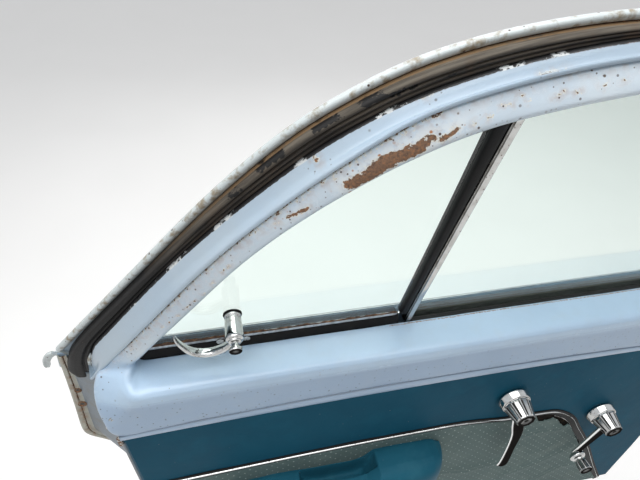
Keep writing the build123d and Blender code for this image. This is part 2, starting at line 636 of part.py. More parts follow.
# Hinges: the leaves on the pillar are turned about the pin by the opening angle
ahead = Vector(cos(radians(OPEN_ANGLE)), sin(radians(OPEN_ANGLE)), 0)
LEAF_ROOT = TRAY_IN[0] + 1.2 - PIN_X
for name, z in (("upper", UPPER_HINGE_Z), ("lower", LOWER_HINGE_Z)):
    pin_centre = (DATUM_X + PIN_X, DATUM_Y + PIN_Y, DATUM_Z + z)
    pillar_plane = Plane(origin=pin_centre, x_dir=ahead, z_dir=(0, 0, 1))
    door_plane = Plane(origin=pin_centre, x_dir=(1, 0, 0), z_dir=(0, 0, 1))
    with BuildPart() as pillar_leaf:
        with BuildSketch(pillar_plane):
            with Locations((LEAF_AHEAD - LEAF_THICK / 2, -LEAF_INBOARD)):
                Rectangle(LEAF_THICK, LEAF_WIDTH)
            with BuildLine():
                Polyline((LEAF_AHEAD, -12), (LEAF_AHEAD - LEAF_THICK, -16), (-3, -7), (4, 7), close=True)
            make_face()
            Circle(KNUCKLE_R)
        extrude(amount=LEAF_HEIGHT / 2, both=True)
        with BuildSketch(pillar_plane):
            Circle(PIN_R)
        extrude(amount=LEAF_HEIGHT, both=True, mode=Mode.SUBTRACT)
        with BuildSketch(pillar_plane):
            with Locations((0, -4)):
                Rectangle(2 * (LEAF_AHEAD - LEAF_THICK - 1), 30)
        extrude(amount=KNUCKLE_HALF + KNUCKLE_PLAY, both=True, mode=Mode.SUBTRACT)
        bolt_face = Plane(origin=(0, 0, DATUM_Z + z), x_dir=(-ahead.Y, ahead.X, 0), z_dir=ahead)
        with BuildSketch(bolt_face):
            with PolarLocations(BOLT_CIRCLE / 2, 4, start_angle=45):
                Circle(BOLT_R)
        extrude(amount=20, both=True, mode=Mode.SUBTRACT)
    save(pillar_leaf, f"{name}_pillar_leaf")
    with BuildPart() as door_leaf:
        with BuildSketch(door_plane):
            with Locations((LEAF_ROOT + LEAF_THICK / 2, -LEAF_INBOARD)):
                Rectangle(LEAF_THICK, LEAF_WIDTH)
        extrude(amount=LEAF_HEIGHT / 2, both=True)
        with BuildSketch(door_plane):
            with BuildLine():
                Polyline((LEAF_ROOT, -9), (LEAF_ROOT, 6), (0, KNUCKLE_R), (0, -6), (LEAF_ROOT + 4.8, -20),
                         close=True)
            make_face()
            Circle(KNUCKLE_R)
        extrude(amount=KNUCKLE_HALF, both=True)
        with BuildSketch(door_plane):
            Circle(PIN_R + PIN_GAP)
        extrude(amount=LEAF_HEIGHT, both=True, mode=Mode.SUBTRACT)
        add(inner_shell.part, mode=Mode.SUBTRACT)
    save(door_leaf, f"{name}_door_leaf")
    with BuildPart() as hinge_pin:
        with BuildSketch(door_plane):
            Circle(PIN_R)
        extrude(amount=LEAF_HEIGHT / 2, both=True)
        with BuildSketch(door_plane.offset(LEAF_HEIGHT / 2)):
            Circle(PIN_R + 2)
        extrude(amount=3)
    save(hinge_pin, f"{name}_hinge_pin")
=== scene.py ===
import json
import bpy
import numpy as np
from math import cos, sin, tan, radians, pi
from mathutils import Matrix, Vector


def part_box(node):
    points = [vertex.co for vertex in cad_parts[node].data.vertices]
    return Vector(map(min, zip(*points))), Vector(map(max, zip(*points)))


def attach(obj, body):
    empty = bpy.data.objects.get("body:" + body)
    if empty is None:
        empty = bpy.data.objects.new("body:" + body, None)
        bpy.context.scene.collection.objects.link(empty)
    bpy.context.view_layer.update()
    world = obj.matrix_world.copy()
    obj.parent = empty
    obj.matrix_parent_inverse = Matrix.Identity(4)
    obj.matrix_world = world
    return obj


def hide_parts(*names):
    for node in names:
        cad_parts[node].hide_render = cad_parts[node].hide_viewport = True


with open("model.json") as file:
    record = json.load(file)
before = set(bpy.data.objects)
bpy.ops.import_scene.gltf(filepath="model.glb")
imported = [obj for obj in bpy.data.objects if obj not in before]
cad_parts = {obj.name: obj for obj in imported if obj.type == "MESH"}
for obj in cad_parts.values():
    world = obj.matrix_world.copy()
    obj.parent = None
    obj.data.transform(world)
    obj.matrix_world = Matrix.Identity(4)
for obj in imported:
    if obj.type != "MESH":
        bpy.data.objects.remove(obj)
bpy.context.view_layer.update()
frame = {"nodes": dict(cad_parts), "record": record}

# Door millimetres: from the front edge of the trim panel (X), the face of the trim (Y)
# and the window sill (Z). +X runs forward to the hinges and +Y out of the cabin.
trim_low, trim_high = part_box("trim_panel")
TRIM_TOP = -100.0
DATUM = np.array((trim_high.x, trim_low.y, trim_high.z - TRIM_TOP / 1000))
FLOOR_Z = -0.80
TILT = radians(12)

# Edges of the window frame in its leaning plane: the rear end's place, heading, straight
# length, arcs as (radius, turn), the front leg's place at the sill and its corner's radius
EDGES = {
    "flange": ((-1152, 6), 48.9, 323, ((1301, 5.9), (442, 31.0), (765, 12.0)), 30, 52),
    "box": ((-1094, 26), 51.4, 149, ((1468, 10.3), (438, 25.3), (756, 15.8)), 6, 38),
    "crease": ((-1093, -17), 51.9, 238, ((1060, 16.0), (200, 16.8), (678, 19.1)), -6, 42),
    "opening": ((-1016, 37), 51.9, 188, ((646, 25.6), (228, 12.4), (1000, 13.9)), -34, 34),
}
# The front leg's lean in degrees and the height of the frame's foot
LEG_LEAN, FRAME_FOOT = 2.0, -17.0
# Steps in mm along an edge, and between the stations where the frame's sections stand
WALK_STEP, STATION = 0.5, 5.0

# Door below the sill: the wheel arch's middle, its radius and the length of the bend onto it, then
# outlines as front, bottom, rear, the rear edge's rake and the arch's radius
ARCH_X, ARCH_Z, ARCH_R, ARCH_CORNER = -1516.0, -609.0, 500.0, 22.0
TRAY_IN = (3.0, -673.0, -1077.0, 0.0, ARCH_R + 24)
TRAY_STEP, STEP_Y = (5.0, -677.0, -1083.0, 0.0, ARCH_R + 18), 58.0
TRAY_OUT = (6.0, -680.0, -1131.0, 0.105, ARCH_R + 16)
SKIN_EDGE = (36.0, -692.0, -1145.0, 0.144, ARCH_R)
TRIM_EDGE = (0.0, -669.0, -1072.0, 0.0, ARCH_R + 28)
SKIN_BELT_Y, SKIN_WIDE_Y, SKIN_WIDE_Z, SKIN_FOOT_Y = 92.0, 112.0, -300.0, 92.0

ALONG, UP, INBOARD = np.array((1.0, 0, 0)), np.array((0, 0, 1.0)), np.array((0, -1.0, 0))
# Directions on the leaning glass: up it, and square out of it into the cabin
GLASS_UP, GLASS_OUT = np.array((0, -sin(TILT), cos(TILT))), np.array((0, -cos(TILT), -sin(TILT)))
# A point far outside the door, from which surfaces that face the cabin are turned away
OUTSIDE = (-500, 4000, -200)

# A distance in mm from the nearest rust at which paint is clean
NO_RUST = 30.0
# The pressed shell ends here, inside the solid one's rear edge
REAR_LIMIT = -1174.6
# The quarter glass meets the sill here
QUARTER_Y = 65.0

# Fittings as (X, Z)
RELEASE, CRANK, KNOB, CATCH = (-426.0, -181.0), (-196.0, -297.0), (-233.0, -393.0), (-894.0, 79.0)


def held(values):
    """Values held between 0 and 1."""
    return np.clip(values, 0, 1)


def round_angles(count):
    """Evenly spaced angles once round."""
    return np.linspace(0, 2 * pi, count, endpoint=False)


def smooth_rows(rows, times):
    """Rows of points at fractional places along a list of rows. Each span is a cubic whose slope at
    either end is half the step between the neighbouring rows."""
    rows = np.asarray(rows, float)
    longer = np.concatenate((2 * rows[:1] - rows[1:2], rows, 2 * rows[-1:] - rows[-2:-1]))
    span = np.clip(times.astype(int), 0, len(rows) - 2)
    t = (times - span).reshape(-1, *[1] * (rows.ndim - 1))
    a, b, c, d = (longer[span + k] for k in range(4))
    curve = b + t * (c - a) / 2 + t ** 2 * (2 * a - 5 * b + 4 * c - d) / 2
    return curve + t ** 3 * (3 * b - a - 3 * c + d) / 2


def smooth_across(rows, times):
    """The same across the columns: points at fractional places along every row."""
    return smooth_rows(rows.transpose(1, 0, 2), times).transpose(1, 0, 2)


def curve_through(points, count):
    """Evenly counted points along the smooth curve through a few points."""
    return smooth_rows(points, np.linspace(0, len(points) - 1, count))


def even_line(points, step):
    """The smooth curve through a few points, with its points moved to equal steps of its length."""
    dense = curve_through(points, 60 * len(points))
    run = np.concatenate(([0], np.cumsum(np.linalg.norm(np.diff(dense[:, :2], axis=0), axis=1))))
    places = np.linspace(0, run[-1], int(run[-1] / step) + 2)
    return np.stack([np.interp(places, run, dense[:, k]) for k in range(dense.shape[1])], -1)


def headings(line):
    """Unit steps along a line of points."""
    way = np.gradient(line, axis=0)
    return way / np.linalg.norm(way, axis=1, keepdims=True)


def left_of(way):
    """Steps in a plane, each turned a quarter to its left."""
    return np.stack((-way[:, 1], way[:, 0]), -1)


def rounded(corners, radii, steps=5):
    """Corners along the last axis but one, each cut back by its radius along both sides and bridged by
    the parabola (1-t)^2 a + 2t(1-t) corner + t^2 b."""
    corners = np.asarray(corners, float)
    count = corners.shape[-2]
    out = []
    for k, radius in enumerate(radii):
        here = corners[..., k, :]
        if radius == 0 or k in (0, count - 1):
            out.append(here)
            continue
        ends = []
        for other in (corners[..., k - 1, :], corners[..., k + 1, :]):
            step = other - here
            length = np.maximum(np.linalg.norm(step, axis=-1, keepdims=True), 1e-6)
            ends.append(here + step * np.minimum(radius / length, 0.49))
        for t in np.linspace(0, 1, steps):
            out.append((1 - t) ** 2 * ends[0] + 2 * t * (1 - t) * here + t * t * ends[1])
    return np.stack(out, axis=-2)


def spread(values, radii, steps=5):
    """Values given at corners, repeated for the points that rounded() makes of each corner."""
    inner = range(1, len(radii) - 1)
    return np.repeat(values, [steps if k in inner and r else 1 for k, r in enumerate(radii)])


def quad_corners(rows, cols, ring):
    """Vertex numbers at the corners of every quad of a grid."""
    i, j = np.meshgrid(np.arange(rows - 1), np.arange(cols if ring else cols - 1), indexing="ij")
    below, beside = i + 1, (j + 1) % cols
    corners = (i * cols + j, i * cols + beside, below * cols + beside, below * cols + j)
    return np.stack(corners, -1).reshape(-1, 4)


def grid(points, ring=False, capped=False, behind=None, **marks):
    """One surface over rows and columns of points. ring closes each row and capped closes both end
    rows with fans. Faces are turned away from the point behind, or from the middle of the surface: the
    signed volume sum(a . (b x c)) of the faces about that point is made positive."""
    points = np.asarray(points, float)
    rows, cols = points.shape[:2]
    flat = points.reshape(-1, 3)
    faces = quad_corners(rows, cols, ring)
    tris = np.concatenate((faces[:, [0, 1, 2]], faces[:, [0, 2, 3]]))
    fans = np.zeros((0, 3), int)
    if capped:
        j = np.arange(cols)
        last = (rows - 1) * cols
        fans = np.concatenate((
            np.stack((np.full(cols, len(flat)), (j + 1) % cols, j), -1),
            np.stack((np.full(cols, len(flat) + 1), last + j, last + (j + 1) % cols), -1)))
        flat = np.concatenate((flat, points[[0, -1]].mean(axis=1)))
    middle = flat.mean(axis=0) if behind is None else np.asarray(behind, float)
    a, b, c = (flat[np.concatenate((tris, fans))[:, k]] - middle for k in range(3))
    if np.einsum("ij,ij->", a, np.cross(b, c)) < 0:
        faces, fans = faces[:, ::-1], fans[:, ::-1]
    run = np.linalg.norm(np.diff(points[:, cols // 2], axis=0), axis=-1)
    along = np.repeat(np.concatenate(([0], np.cumsum(run)))[:, None], cols, axis=1)
    steps = np.linalg.norm(np.diff(points, axis=1), axis=-1)
    over = np.concatenate((np.zeros((rows, 1)), np.cumsum(steps, axis=1)), 1)
    uv = np.stack((along, over), -1).reshape(-1, 2) / 1000
    extra = len(flat) - rows * cols
    uv = np.concatenate((uv, np.zeros((extra, 2))))
    values = {key: np.concatenate((np.broadcast_to(v, (rows, cols)).ravel(), np.zeros(extra)))
              for key, v in marks.items()}
    return {"points": flat, "faces": faces.tolist() + fans.tolist(), "uv": uv, "marks": values}


def closed(points, **marks):
    """A closed body over rows of points: every row is a ring, and the end rows are capped."""
    return grid(points, ring=True, capped=True, **marks)


def piece(name, material, *grids, replaces=None, sharp=35, thick=0.0):
    """A named mesh object made of surfaces in door millimetres. It rides on the door. Edges stay sharp from
    an angle of sharp degrees, and thick is the wall's thickness in mm, grown behind the surface."""
    counts = np.cumsum([0] + [len(g["points"]) for g in grids])
    points = np.concatenate([g["points"] for g in grids]) / 1000 + DATUM
    faces = [[v + start for v in face] for g, start in zip(grids, counts) for face in g["faces"]]
    mesh = bpy.data.meshes.new(name)
    mesh.from_pydata(points.tolist(), [], faces)
    corner = np.zeros(len(mesh.loops), np.int32)
    mesh.loops.foreach_get("vertex_index", corner)
    uv = np.concatenate([g["uv"] for g in grids])[corner]
    mesh.uv_layers.new(name="surface").data.foreach_set("uv", uv.astype(np.float32).ravel())
    for key in sorted({key for g in grids for key in g["marks"]}):
        values = np.concatenate([g["marks"].get(key, np.zeros(len(g["points"]))) for g in grids])
        mesh.attributes.new(key, "FLOAT", "POINT").data.foreach_set("value", values.astype(np.float32))
    mesh.materials.append(material)
    mesh.polygons.foreach_set("use_smooth", np.ones(len(mesh.polygons), bool))
    mesh.set_sharp_from_angle(angle=radians(sharp))
    made = bpy.data.objects.new(name, mesh)
    bpy.context.scene.collection.objects.link(made)
    if thick:
        wall = made.modifiers.new("wall", "SOLIDIFY")
        wall.thickness, wall.offset = thick / 1000, -1
    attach(made, "door")
    if replaces:
        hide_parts(replaces)
    return made


def lean(u, v, y):
    """Points of the window's leaning plane that meets the sill at y, as (X, Y, Z)."""
    u, v, y = np.broadcast_arrays(u, v, y)
    return np.stack((u, y - v * sin(TILT), v * cos(TILT)), -1)


def edge_points(name, foot=-60.0):
    """Points along one edge of the frame. The heading is the straight's, then falls evenly along each
    arc, and the place is the running sum of (cos, sin) of the heading."""
    (x, z), heading, straight, arcs, front, corner = EDGES[name]
    runs = [(straight + (z - foot) / sin(radians(heading)), 0)] + [(r * radians(t), t) for r, t in arcs]

    def walk(runs):
        knots = np.concatenate(([0], np.cumsum([length for length, turn in runs])))
        turns = heading - np.concatenate(([0], np.cumsum([turn for length, turn in runs])))
        s = np.arange(0, knots[-1], WALK_STEP)
        h = np.radians(np.interp(s + WALK_STEP / 2, knots, turns))
        start = np.array((x - (z - foot) / tan(radians(heading)), foot))
        steps = np.cumsum(np.stack((np.cos(h), np.sin(h)), -1), 0) * WALK_STEP
        return start + np.concatenate((np.zeros((1, 2)), steps))

    top = walk(runs)[-1]
    reach = front - top[1] * tan(radians(LEG_LEAN)) - corner * tan(radians(45 - LEG_LEAN / 2)) - top[0]
    turn = 90 - LEG_LEAN
    leg = (top[1] - corner * (1 - cos(radians(turn))) - foot) / sin(radians(turn))
    return walk(runs + [(reach, 0), (corner * radians(turn), turn), (leg, 0)])


# Stations along the crease, from the rear foot over the top to the front foot. Each other
# edge is so far to the side of it, along the crease's own normal.
crease = edge_points("crease", FRAME_FOOT)[::int(STATION / WALK_STEP)]
outward = left_of(headings(crease))
opening = edge_points("opening")


def offset_of(name):
    """How far an edge lies outside the crease at each station: its nearest point, measured along the
    normal."""
    other = edge_points(name)
    nearest = np.linalg.norm(other[None] - crease[:, None], axis=-1).argmin(1)
    far = np.einsum("ij,ij->i", other[nearest] - crease, outward)
    pad = np.concatenate((np.full(4, far[0]), far, np.full(4, far[-1])))
    return np.convolve(pad, np.ones(9) / 9, "valid")


# How far the flange's edge, the box's, the crease and the opening lie outside the crease
OFFSETS = {"A": offset_of("flange"), "C": offset_of("box"), "D": np.zeros(len(crease)),
           "E": offset_of("opening")}


def station_points(letter, shift, y):
    """Points at every station: an edge's letter, a shift outward in mm and the leaning plane's y."""
    side = crease + outward * (OFFSETS[letter] + shift)[:, None]
    return lean(side[:, 0], side[:, 1], y)


def to_line(places, line):
    """Distance from each 2-D place to the nearest piece of a line of points: the place is dropped on
    every piece, t = (p - a) . (b - a) / |b - a|^2 held between 0 and 1, and the nearest foot counts."""
    line = np.asarray(line, float)
    a, b = line[:-1], line[1:]
    step = b - a
    from_a = places[..., None, :] - a
    t = held(np.sum(from_a * step, -1) / np.maximum(np.sum(step * step, -1), 1e-9))
    return np.linalg.norm(from_a - t[..., None] * step, axis=-1).min(-1)


def to_strokes(places, strokes):
    """Signed distance to a set of round-ended strokes (x1, z1, x2, z2, radius), below zero inside one."""
    return np.min([to_line(places, ((x1, z1), (x2, z2))) - r for x1, z1, x2, z2, r in strokes], axis=0)


def srgb(r, g, b):
    """Linear colour of screen values from 0 to 255."""
    c = np.array((r, g, b)) / 255
    return (*np.where(c <= 0.04045, c / 12.92, ((c + 0.055) / 1.055) ** 2.4), 1.0)


def node(tree, kind, inputs=(), out=0, **settings):
    """Add a node, set its properties, feed its inputs with values or sockets and give back one output."""
    made = tree.nodes.new(kind)
    for key, value in settings.items():
        setattr(made, key, value)
    for key, value in dict(inputs).items():
        if isinstance(value, bpy.types.NodeSocket):
            tree.links.new(value, made.inputs[key])
        else:
            made.inputs[key].default_value = value
    return made.outputs[out]


def arith(tree, operation, a, b=0.0):
    return node(tree, "ShaderNodeMath", {0: a, 1: b}, operation=operation)


def fit(tree, value, low, high, to_low=0.0, to_high=1.0):
    """A value carried from one range to another and held inside it."""
    return node(tree, "ShaderNodeMapRange", {0: value, 1: low, 2: high, 3: to_low, 4: to_high}, clamp=True)


def noise(tree, place, scale, detail=4.0, rough=0.55):
    return node(tree, "ShaderNodeTexNoise",
                {"Vector": place, "Scale": scale, "Detail": detail, "Roughness": rough})


def ramp(tree, value, stops):
    """Colour ramp through (place, colour) stops."""
    out = node(tree, "ShaderNodeValToRGB", {0: value})
    elements = out.node.color_ramp.elements
    for k, (place, colour) in enumerate(stops):
        element = elements[k] if k < 2 else elements.new(place)
        element.position, element.color = place, colour
    return out


def effect(name, inputs, outputs):
    """An empty shader group with its named inputs, as (label, value), and outputs, as (label, kind)."""
    tree = bpy.data.node_groups.new(name, "ShaderNodeTree")
    tree.interface.new_socket("Place", in_out="INPUT", socket_type="NodeSocketVector")
    for label, value in inputs:
        tree.interface.new_socket(label, in_out="INPUT", socket_type="NodeSocketFloat").default_value = value
    for label, kind in outputs:
        tree.interface.new_socket(label, in_out="OUTPUT", socket_type="NodeSocket" + kind)
    return tree, tree.nodes.new("NodeGroupInput").outputs, tree.nodes.new("NodeGroupOutput").inputs


def flaking_effect():
    """Rust under flaking paint: a distance in mm, made ragged by noise, is rust below zero and bare
    primer just above it."""
    tree, given, out = effect("flaking_rust", (("Distance", 9.0), ("Ragged", 3.0)),
                              (("Rust", "Float"), ("Primer", "Float"), ("Colour", "Color"),
                               ("Height", "Float")))
    coarse = arith(tree, "SUBTRACT", noise(tree, given["Place"], 230, 5, .62), .5)
    fine = arith(tree, "SUBTRACT", noise(tree, given["Place"], 1100, 2), .5)
    both = arith(tree, "ADD", arith(tree, "MULTIPLY", coarse, 3.2), arith(tree, "MULTIPLY", fine, .35))
    moved = arith(tree, "ADD", given["Distance"], arith(tree, "MULTIPLY", given["Ragged"], both))
    rust = fit(tree, moved, .25, -.2)
    tree.links.new(rust, out["Rust"])
    tree.links.new(fit(tree, moved, 1.5, .5), out["Primer"])
    mottle = noise(tree, given["Place"], 420, 6, .7)
    browns = ((.30, srgb(58, 38, 28)), (.46, srgb(112, 84, 64)), (.58, srgb(138, 100, 70)),
              (.72, srgb(176, 112, 62)))
    tree.links.new(ramp(tree, mottle, browns), out["Colour"])
    tree.links.new(arith(tree, "SUBTRACT", arith(tree, "MULTIPLY", mottle, .5), rust), out["Height"])
    return tree


def speck_effect():
    """Scattered specks: cells of a Voronoi pattern, a share of them with a round dot in the middle."""
    tree, given, out = effect("specks", (("Scale", 200.0), ("Share", 0.1), ("Size", 0.2)),
                              (("Mask", "Float"),))
    cell = node(tree, "ShaderNodeTexVoronoi", {"Vector": given["Place"], "Scale": given["Scale"]})
    lot = node(tree, "ShaderNodeSeparateColor", {0: cell.node.outputs["Color"]})
    chosen = arith(tree, "LESS_THAN", lot, given["Share"])
    size = arith(tree, "MULTIPLY", given["Size"], arith(tree, "ADD", .4, lot.node.outputs[1]))
    edge = fit(tree, arith(tree, "SUBTRACT", cell, size), .06, -.03)
    tree.links.new(arith(tree, "MULTIPLY", chosen, edge), out["Mask"])
    return tree


def cloud_effect():
    """Soft patches: noise between two levels."""
    tree, given, out = effect("clouds", (("Scale", 10.0), ("Low", 0.4), ("High", 0.6)), (("Mask", "Float"),))
    tree.links.new(fit(tree, noise(tree, given["Place"], given["Scale"], 5), given["Low"], given["High"]),
                   out["Mask"])
    return tree


def leather_effect():
    """Embossed grain: rounded cells with furrows between them, over soft folds."""
    tree, given, out = effect("embossed_grain", (("Scale", 700.0),), (("Height", "Float"),))
    big = node(tree, "ShaderNodeTexVoronoi", {"Vector": given["Place"], "Scale": given["Scale"]},
               feature="SMOOTH_F1")
    fold = noise(tree, given["Place"], arith(tree, "MULTIPLY", given["Scale"], .35), 3)
    tree.links.new(arith(tree, "SUBTRACT", fold, arith(tree, "MULTIPLY", big, .8)), out["Height"])
    return tree


FLAKING, SPECKS, CLOUDS, EMBOSSED = flaking_effect(), speck_effect(), cloud_effect(), leather_effect()


class Finish:
    """A material built up in coats over one Principled shader."""

    def __init__(self, name, colour, rough, **sockets):
        self.mat = bpy.data.materials.new(name)
        self.mat.use_nodes = True
        self.tree = self.mat.node_tree
        self.shader = self.tree.nodes["Principled BSDF"]
        self.place = node(self.tree, "ShaderNodeTexCoord", out=3)
        self.coats = {"Base Color": colour, "Roughness": rough}
        for key, value in sockets.items():
            self.shader.inputs[key.replace("_", " ")].default_value = value

    def mark(self, name):
        """The value painted on the piece's vertices under a name."""
        return node(self.tree, "ShaderNodeAttribute", out=2, attribute_name=name)

    def use(self, effect, out=0, **inputs):
        """An output of a shared effect, with its own values."""
        made = node(self.tree, "ShaderNodeGroup", node_tree=effect)
        self.tree.links.new(self.place, made.node.inputs["Place"])
        for key, value in inputs.items():
            if isinstance(value, bpy.types.NodeSocket):
                self.tree.links.new(value, made.node.inputs[key])
            else:
                made.node.inputs[key].default_value = value
        return made.node.outputs[out]

    def clouds(self, scale, low, high):
        """Soft patches: noise between two levels."""
        return self.use(CLOUDS, Scale=scale, Low=low, High=high)

    def specks(self, scale, share, size):
        """Scattered specks in a share of the cells."""
        return self.use(SPECKS, Scale=scale, Share=share, Size=size)

    def noise(self, scale, *values):
        """Noise at a scale, with its detail and roughness if they are given."""
        return noise(self.tree, self.place, scale, *values)

    def sum(self, a, b):
        """Two values added."""
        return arith(self.tree, "ADD", a, b)

    def times(self, *masks):
        """Masks and shares multiplied together."""
        total = masks[0]
        for mask in masks[1:]:
            total = arith(self.tree, "MULTIPLY", total, mask)
        return total

    def fit(self, value, low, high, to_low=0.0, to_high=1.0):
        """A value carried from one range to another and held inside it."""
        return fit(self.tree, value, low, high, to_low, to_high)

    def coat(self, mask, colour, rough=None):
        """Another colour, and if given another roughness, where the mask is 1."""
        self.coats["Base Color"] = node(self.tree, "ShaderNodeMix",
                                        {0: mask, 6: self.coats["Base Color"], 7: colour},
                                        out=2, data_type="RGBA")
        if rough is not None:
            self.coats["Roughness"] = node(self.tree, "ShaderNodeMix",
                                           {0: mask, 2: self.coats["Roughness"], 3: rough})
        return self

    def bump(self, height, depth):
        """A relief of a depth in mm over what is there."""
        inputs = {"Height": height, "Distance": depth / 1000, "Strength": 1.0}
        if "Normal" in self.coats:
            inputs["Normal"] = self.coats["Normal"]
        self.coats["Normal"] = node(self.tree, "ShaderNodeBump", inputs)
        return self

    def done(self):
        """Feed the coats to the shader and give back the material."""
        for key, value in self.coats.items():
            if isinstance(value, bpy.types.NodeSocket):
                self.tree.links.new(value, self.shader.inputs[key])
            else:
                self.shader.inputs[key].default_value = value
        return self.mat


RUST_DARK = srgb(64, 42, 30)


def painted(name, colour, rough, marked=True):
    """Old gloss paint: clouded colour, dirt specks, a slightly wavy film, and rust where it is marked. Where
    it is marked, a paler colour is painted light and a darker one is painted shade.
    """
    look = Finish(name, colour, rough, Coat_Weight=0.25, Coat_Roughness=0.12)
    if marked:
        # Painted light: a paler colour on faces that face the sky.
        look.coat(look.mark("pale"), srgb(216, 227, 234))
        # A darker, greyer colour: painted shade on upright faces, and greyer, darker paint towards the
        # frame's front.
        look.coat(look.times(look.mark("dull"), .9), srgb(152, 176, 203), rough + .04)
    look.coat(look.times(look.clouds(6.0, .40, .75), .5), srgb(168, 194, 219))
    look.coat(look.times(look.clouds(42.0, .5, .8), .14), srgb(190, 196, 196), rough + .10)
    look.coat(look.specks(120.0, .035, .11), srgb(96, 84, 74), .7)
    look.coat(look.times(look.specks(48.0, .03, .05), .8), srgb(72, 58, 48), .7)
    look.bump(look.noise(55, 2), .35)
    look.bump(look.noise(420, 3), .035)
    if marked:
        far = look.mark("rust")
        stain = look.times(look.fit(far, 7, -1), look.clouds(120.0, .42, .62), .55)
        look.coat(stain, srgb(168, 128, 96), .5)
        look.coat(look.times(look.mark("flaking"), look.clouds(150.0, .40, .52), .8), srgb(222, 228, 230), .5)
        look.coat(look.times(look.mark("flaking"), look.specks(170.0, .30, .24)), srgb(172, 112, 66), .8)
        chips = look.times(look.fit(far, 16, 2), look.specks(210.0, .30, .20))
        look.coat(chips, RUST_DARK, .8)
        flaking = [look.use(FLAKING, k, Distance=far, Ragged=3.6) for k in range(4)]
        look.coat(flaking[1], srgb(226, 224, 214), .6)
        look.coat(flaking[0], flaking[2], .85)
        look.bump(flaking[3], .5)
    return look


def door_paint():
    look = painted("light_blue_paint", srgb(190, 215, 238), .26)
    lip = look.fit(look.sum(look.mark("lip"), look.times(look.noise(300, 4), .9)), 1.22, 1.42)
    look.coat(lip, srgb(150, 128, 116), .7)
    look.coat(look.times(look.mark("seam"), .85), srgb(70, 76, 86), .6)
    return look.done()


def frame_paint():
    look = painted("frame_paint", srgb(186, 202, 214), .3)
    # Greyer and darker where this mark is set, towards the frame's front.
    look.coat(look.times(look.mark("dull"), .75), srgb(158, 172, 180), .36)
    rim = look.mark("rim")
    look.coat(rim, srgb(202, 210, 210), .36)
    look.coat(look.times(rim, look.clouds(90.0, .50, .66)), srgb(150, 140, 122), .6)
    look.coat(look.times(rim, look.specks(160.0, .22, .16)), RUST_DARK, .8)
    groove = look.fit(look.sum(look.mark("groove"), look.times(look.noise(260, 5), .8)), .85, 1.2)
    look.coat(groove, ramp(look.tree, look.noise(150, 4), (
        (.35, srgb(40, 30, 24)), (.55, srgb(86, 58, 40)), (.7, srgb(140, 86, 50)))), .85)
    soot = look.fit(look.sum(look.mark("soot"), look.times(look.noise(190, 5, .65), .7)), 1.02, 1.12)
    look.coat(soot, srgb(26, 25, 26), .75)
    chips = look.times(look.fit(look.mark("soot"), .42, .60), look.clouds(34.0, .58, .61),
                       look.clouds(190.0, .42, .46))
    look.coat(chips, srgb(216, 220, 220), .5)
    return look.done()


def shaded_jamb_paint():
    # The jamb wall wears the body's light blue darkened as painted shade, and the wall beside the flange is
    # darkened further as painted shade.
    look = painted("shaded_jamb_paint", srgb(88, 102, 112), .42, marked=False)
    look.coat(look.fit(look.mark("flange"), 1, 0, 0, .7), srgb(80, 93, 102), .42)
    look.coat(look.mark("flange"), srgb(166, 166, 154), .5)
    look.coat(look.mark("hem"), srgb(186, 184, 170), .45)
    look.coat(look.times(look.clouds(36.0, .5, .72), .5), srgb(122, 112, 96), .7)
    crack = look.mark("crack")
    stain = look.times(look.fit(crack, 9, 0), look.clouds(75.0, .42, .62), .8)
    look.coat(stain, srgb(146, 104, 70), .7)
    flaking = [look.use(FLAKING, k, Distance=crack, Ragged=1.6) for k in range(4)]
    look.coat(flaking[0], flaking[2], .85)
    look.bump(flaking[3], .4)
    look.coat(look.times(look.mark("hole"), .85), srgb(40, 28, 22), .9)
    return look.done()


def skin_paint():
    look = painted("outer_paint", srgb(176, 205, 232), .2, marked=False)
    look.coat(look.times(look.clouds(3.0, .45, .7), .35), srgb(190, 196, 196), .4)
    look.coat(look.specks(70.0, .03, .06), RUST_DARK, .8)
    return look.done()


# Metres between the dots of the insert, along its slants
DOT_PITCH = .019


def vinyl(name, colour, shade, pale, grain, rough, sparkle=False):
    """Embossed vinyl: clouded colour, paler where it is rubbed, with a fine grain."""
    look = Finish(name, colour, rough, Specular_IOR_Level=0.07)
    look.coat(look.times(look.clouds(6.0, .38, .68), .7), shade)
    look.coat(look.times(look.clouds(23.0, .52, .8), .5), pale, rough + .1)
    look.coat(look.times(look.specks(150.0, .05, .08), .6), srgb(150, 158, 156), .7)
    if sparkle:
        # Dots in a slanting grid: the rests of (x + z) and (x - z) over the pitch, as a distance from
        # the middle of a cell
        apart = node(look.tree, "ShaderNodeSeparateXYZ", {0: look.place})
        slants = [look.times(arith(look.tree, sign, apart, apart.node.outputs[2]), 1 / DOT_PITCH)
                  for sign in ("ADD", "SUBTRACT")]
        rests = [arith(look.tree, "SUBTRACT", arith(look.tree, "FRACT", slant), .5) for slant in slants]
        square = [look.times(rest, rest) for rest in rests]
        dots = look.fit(look.sum(*square), .012, .004)
        look.coat(look.times(dots, look.clouds(60.0, .30, .56), .8), srgb(206, 218, 211), .5)
        look.coat(look.specks(260.0, .12, .16), srgb(62, 74, 72), .7)
    look.bump(look.use(EMBOSSED, Scale=grain), .12)
    look.bump(look.noise(26, 3), .8)
    return look


def panel_vinyl():
    look = vinyl("teal_vinyl", srgb(20, 80, 102), srgb(13, 66, 88), srgb(32, 94, 116), 900.0, .55)
    bare = look.mark("bare")
    look.coat(bare, ramp(look.tree, look.noise(120, 5), (
        (.35, srgb(14, 13, 12)), (.6, srgb(34, 28, 24)), (.75, srgb(60, 48, 38)))), .9)
    return look.done()


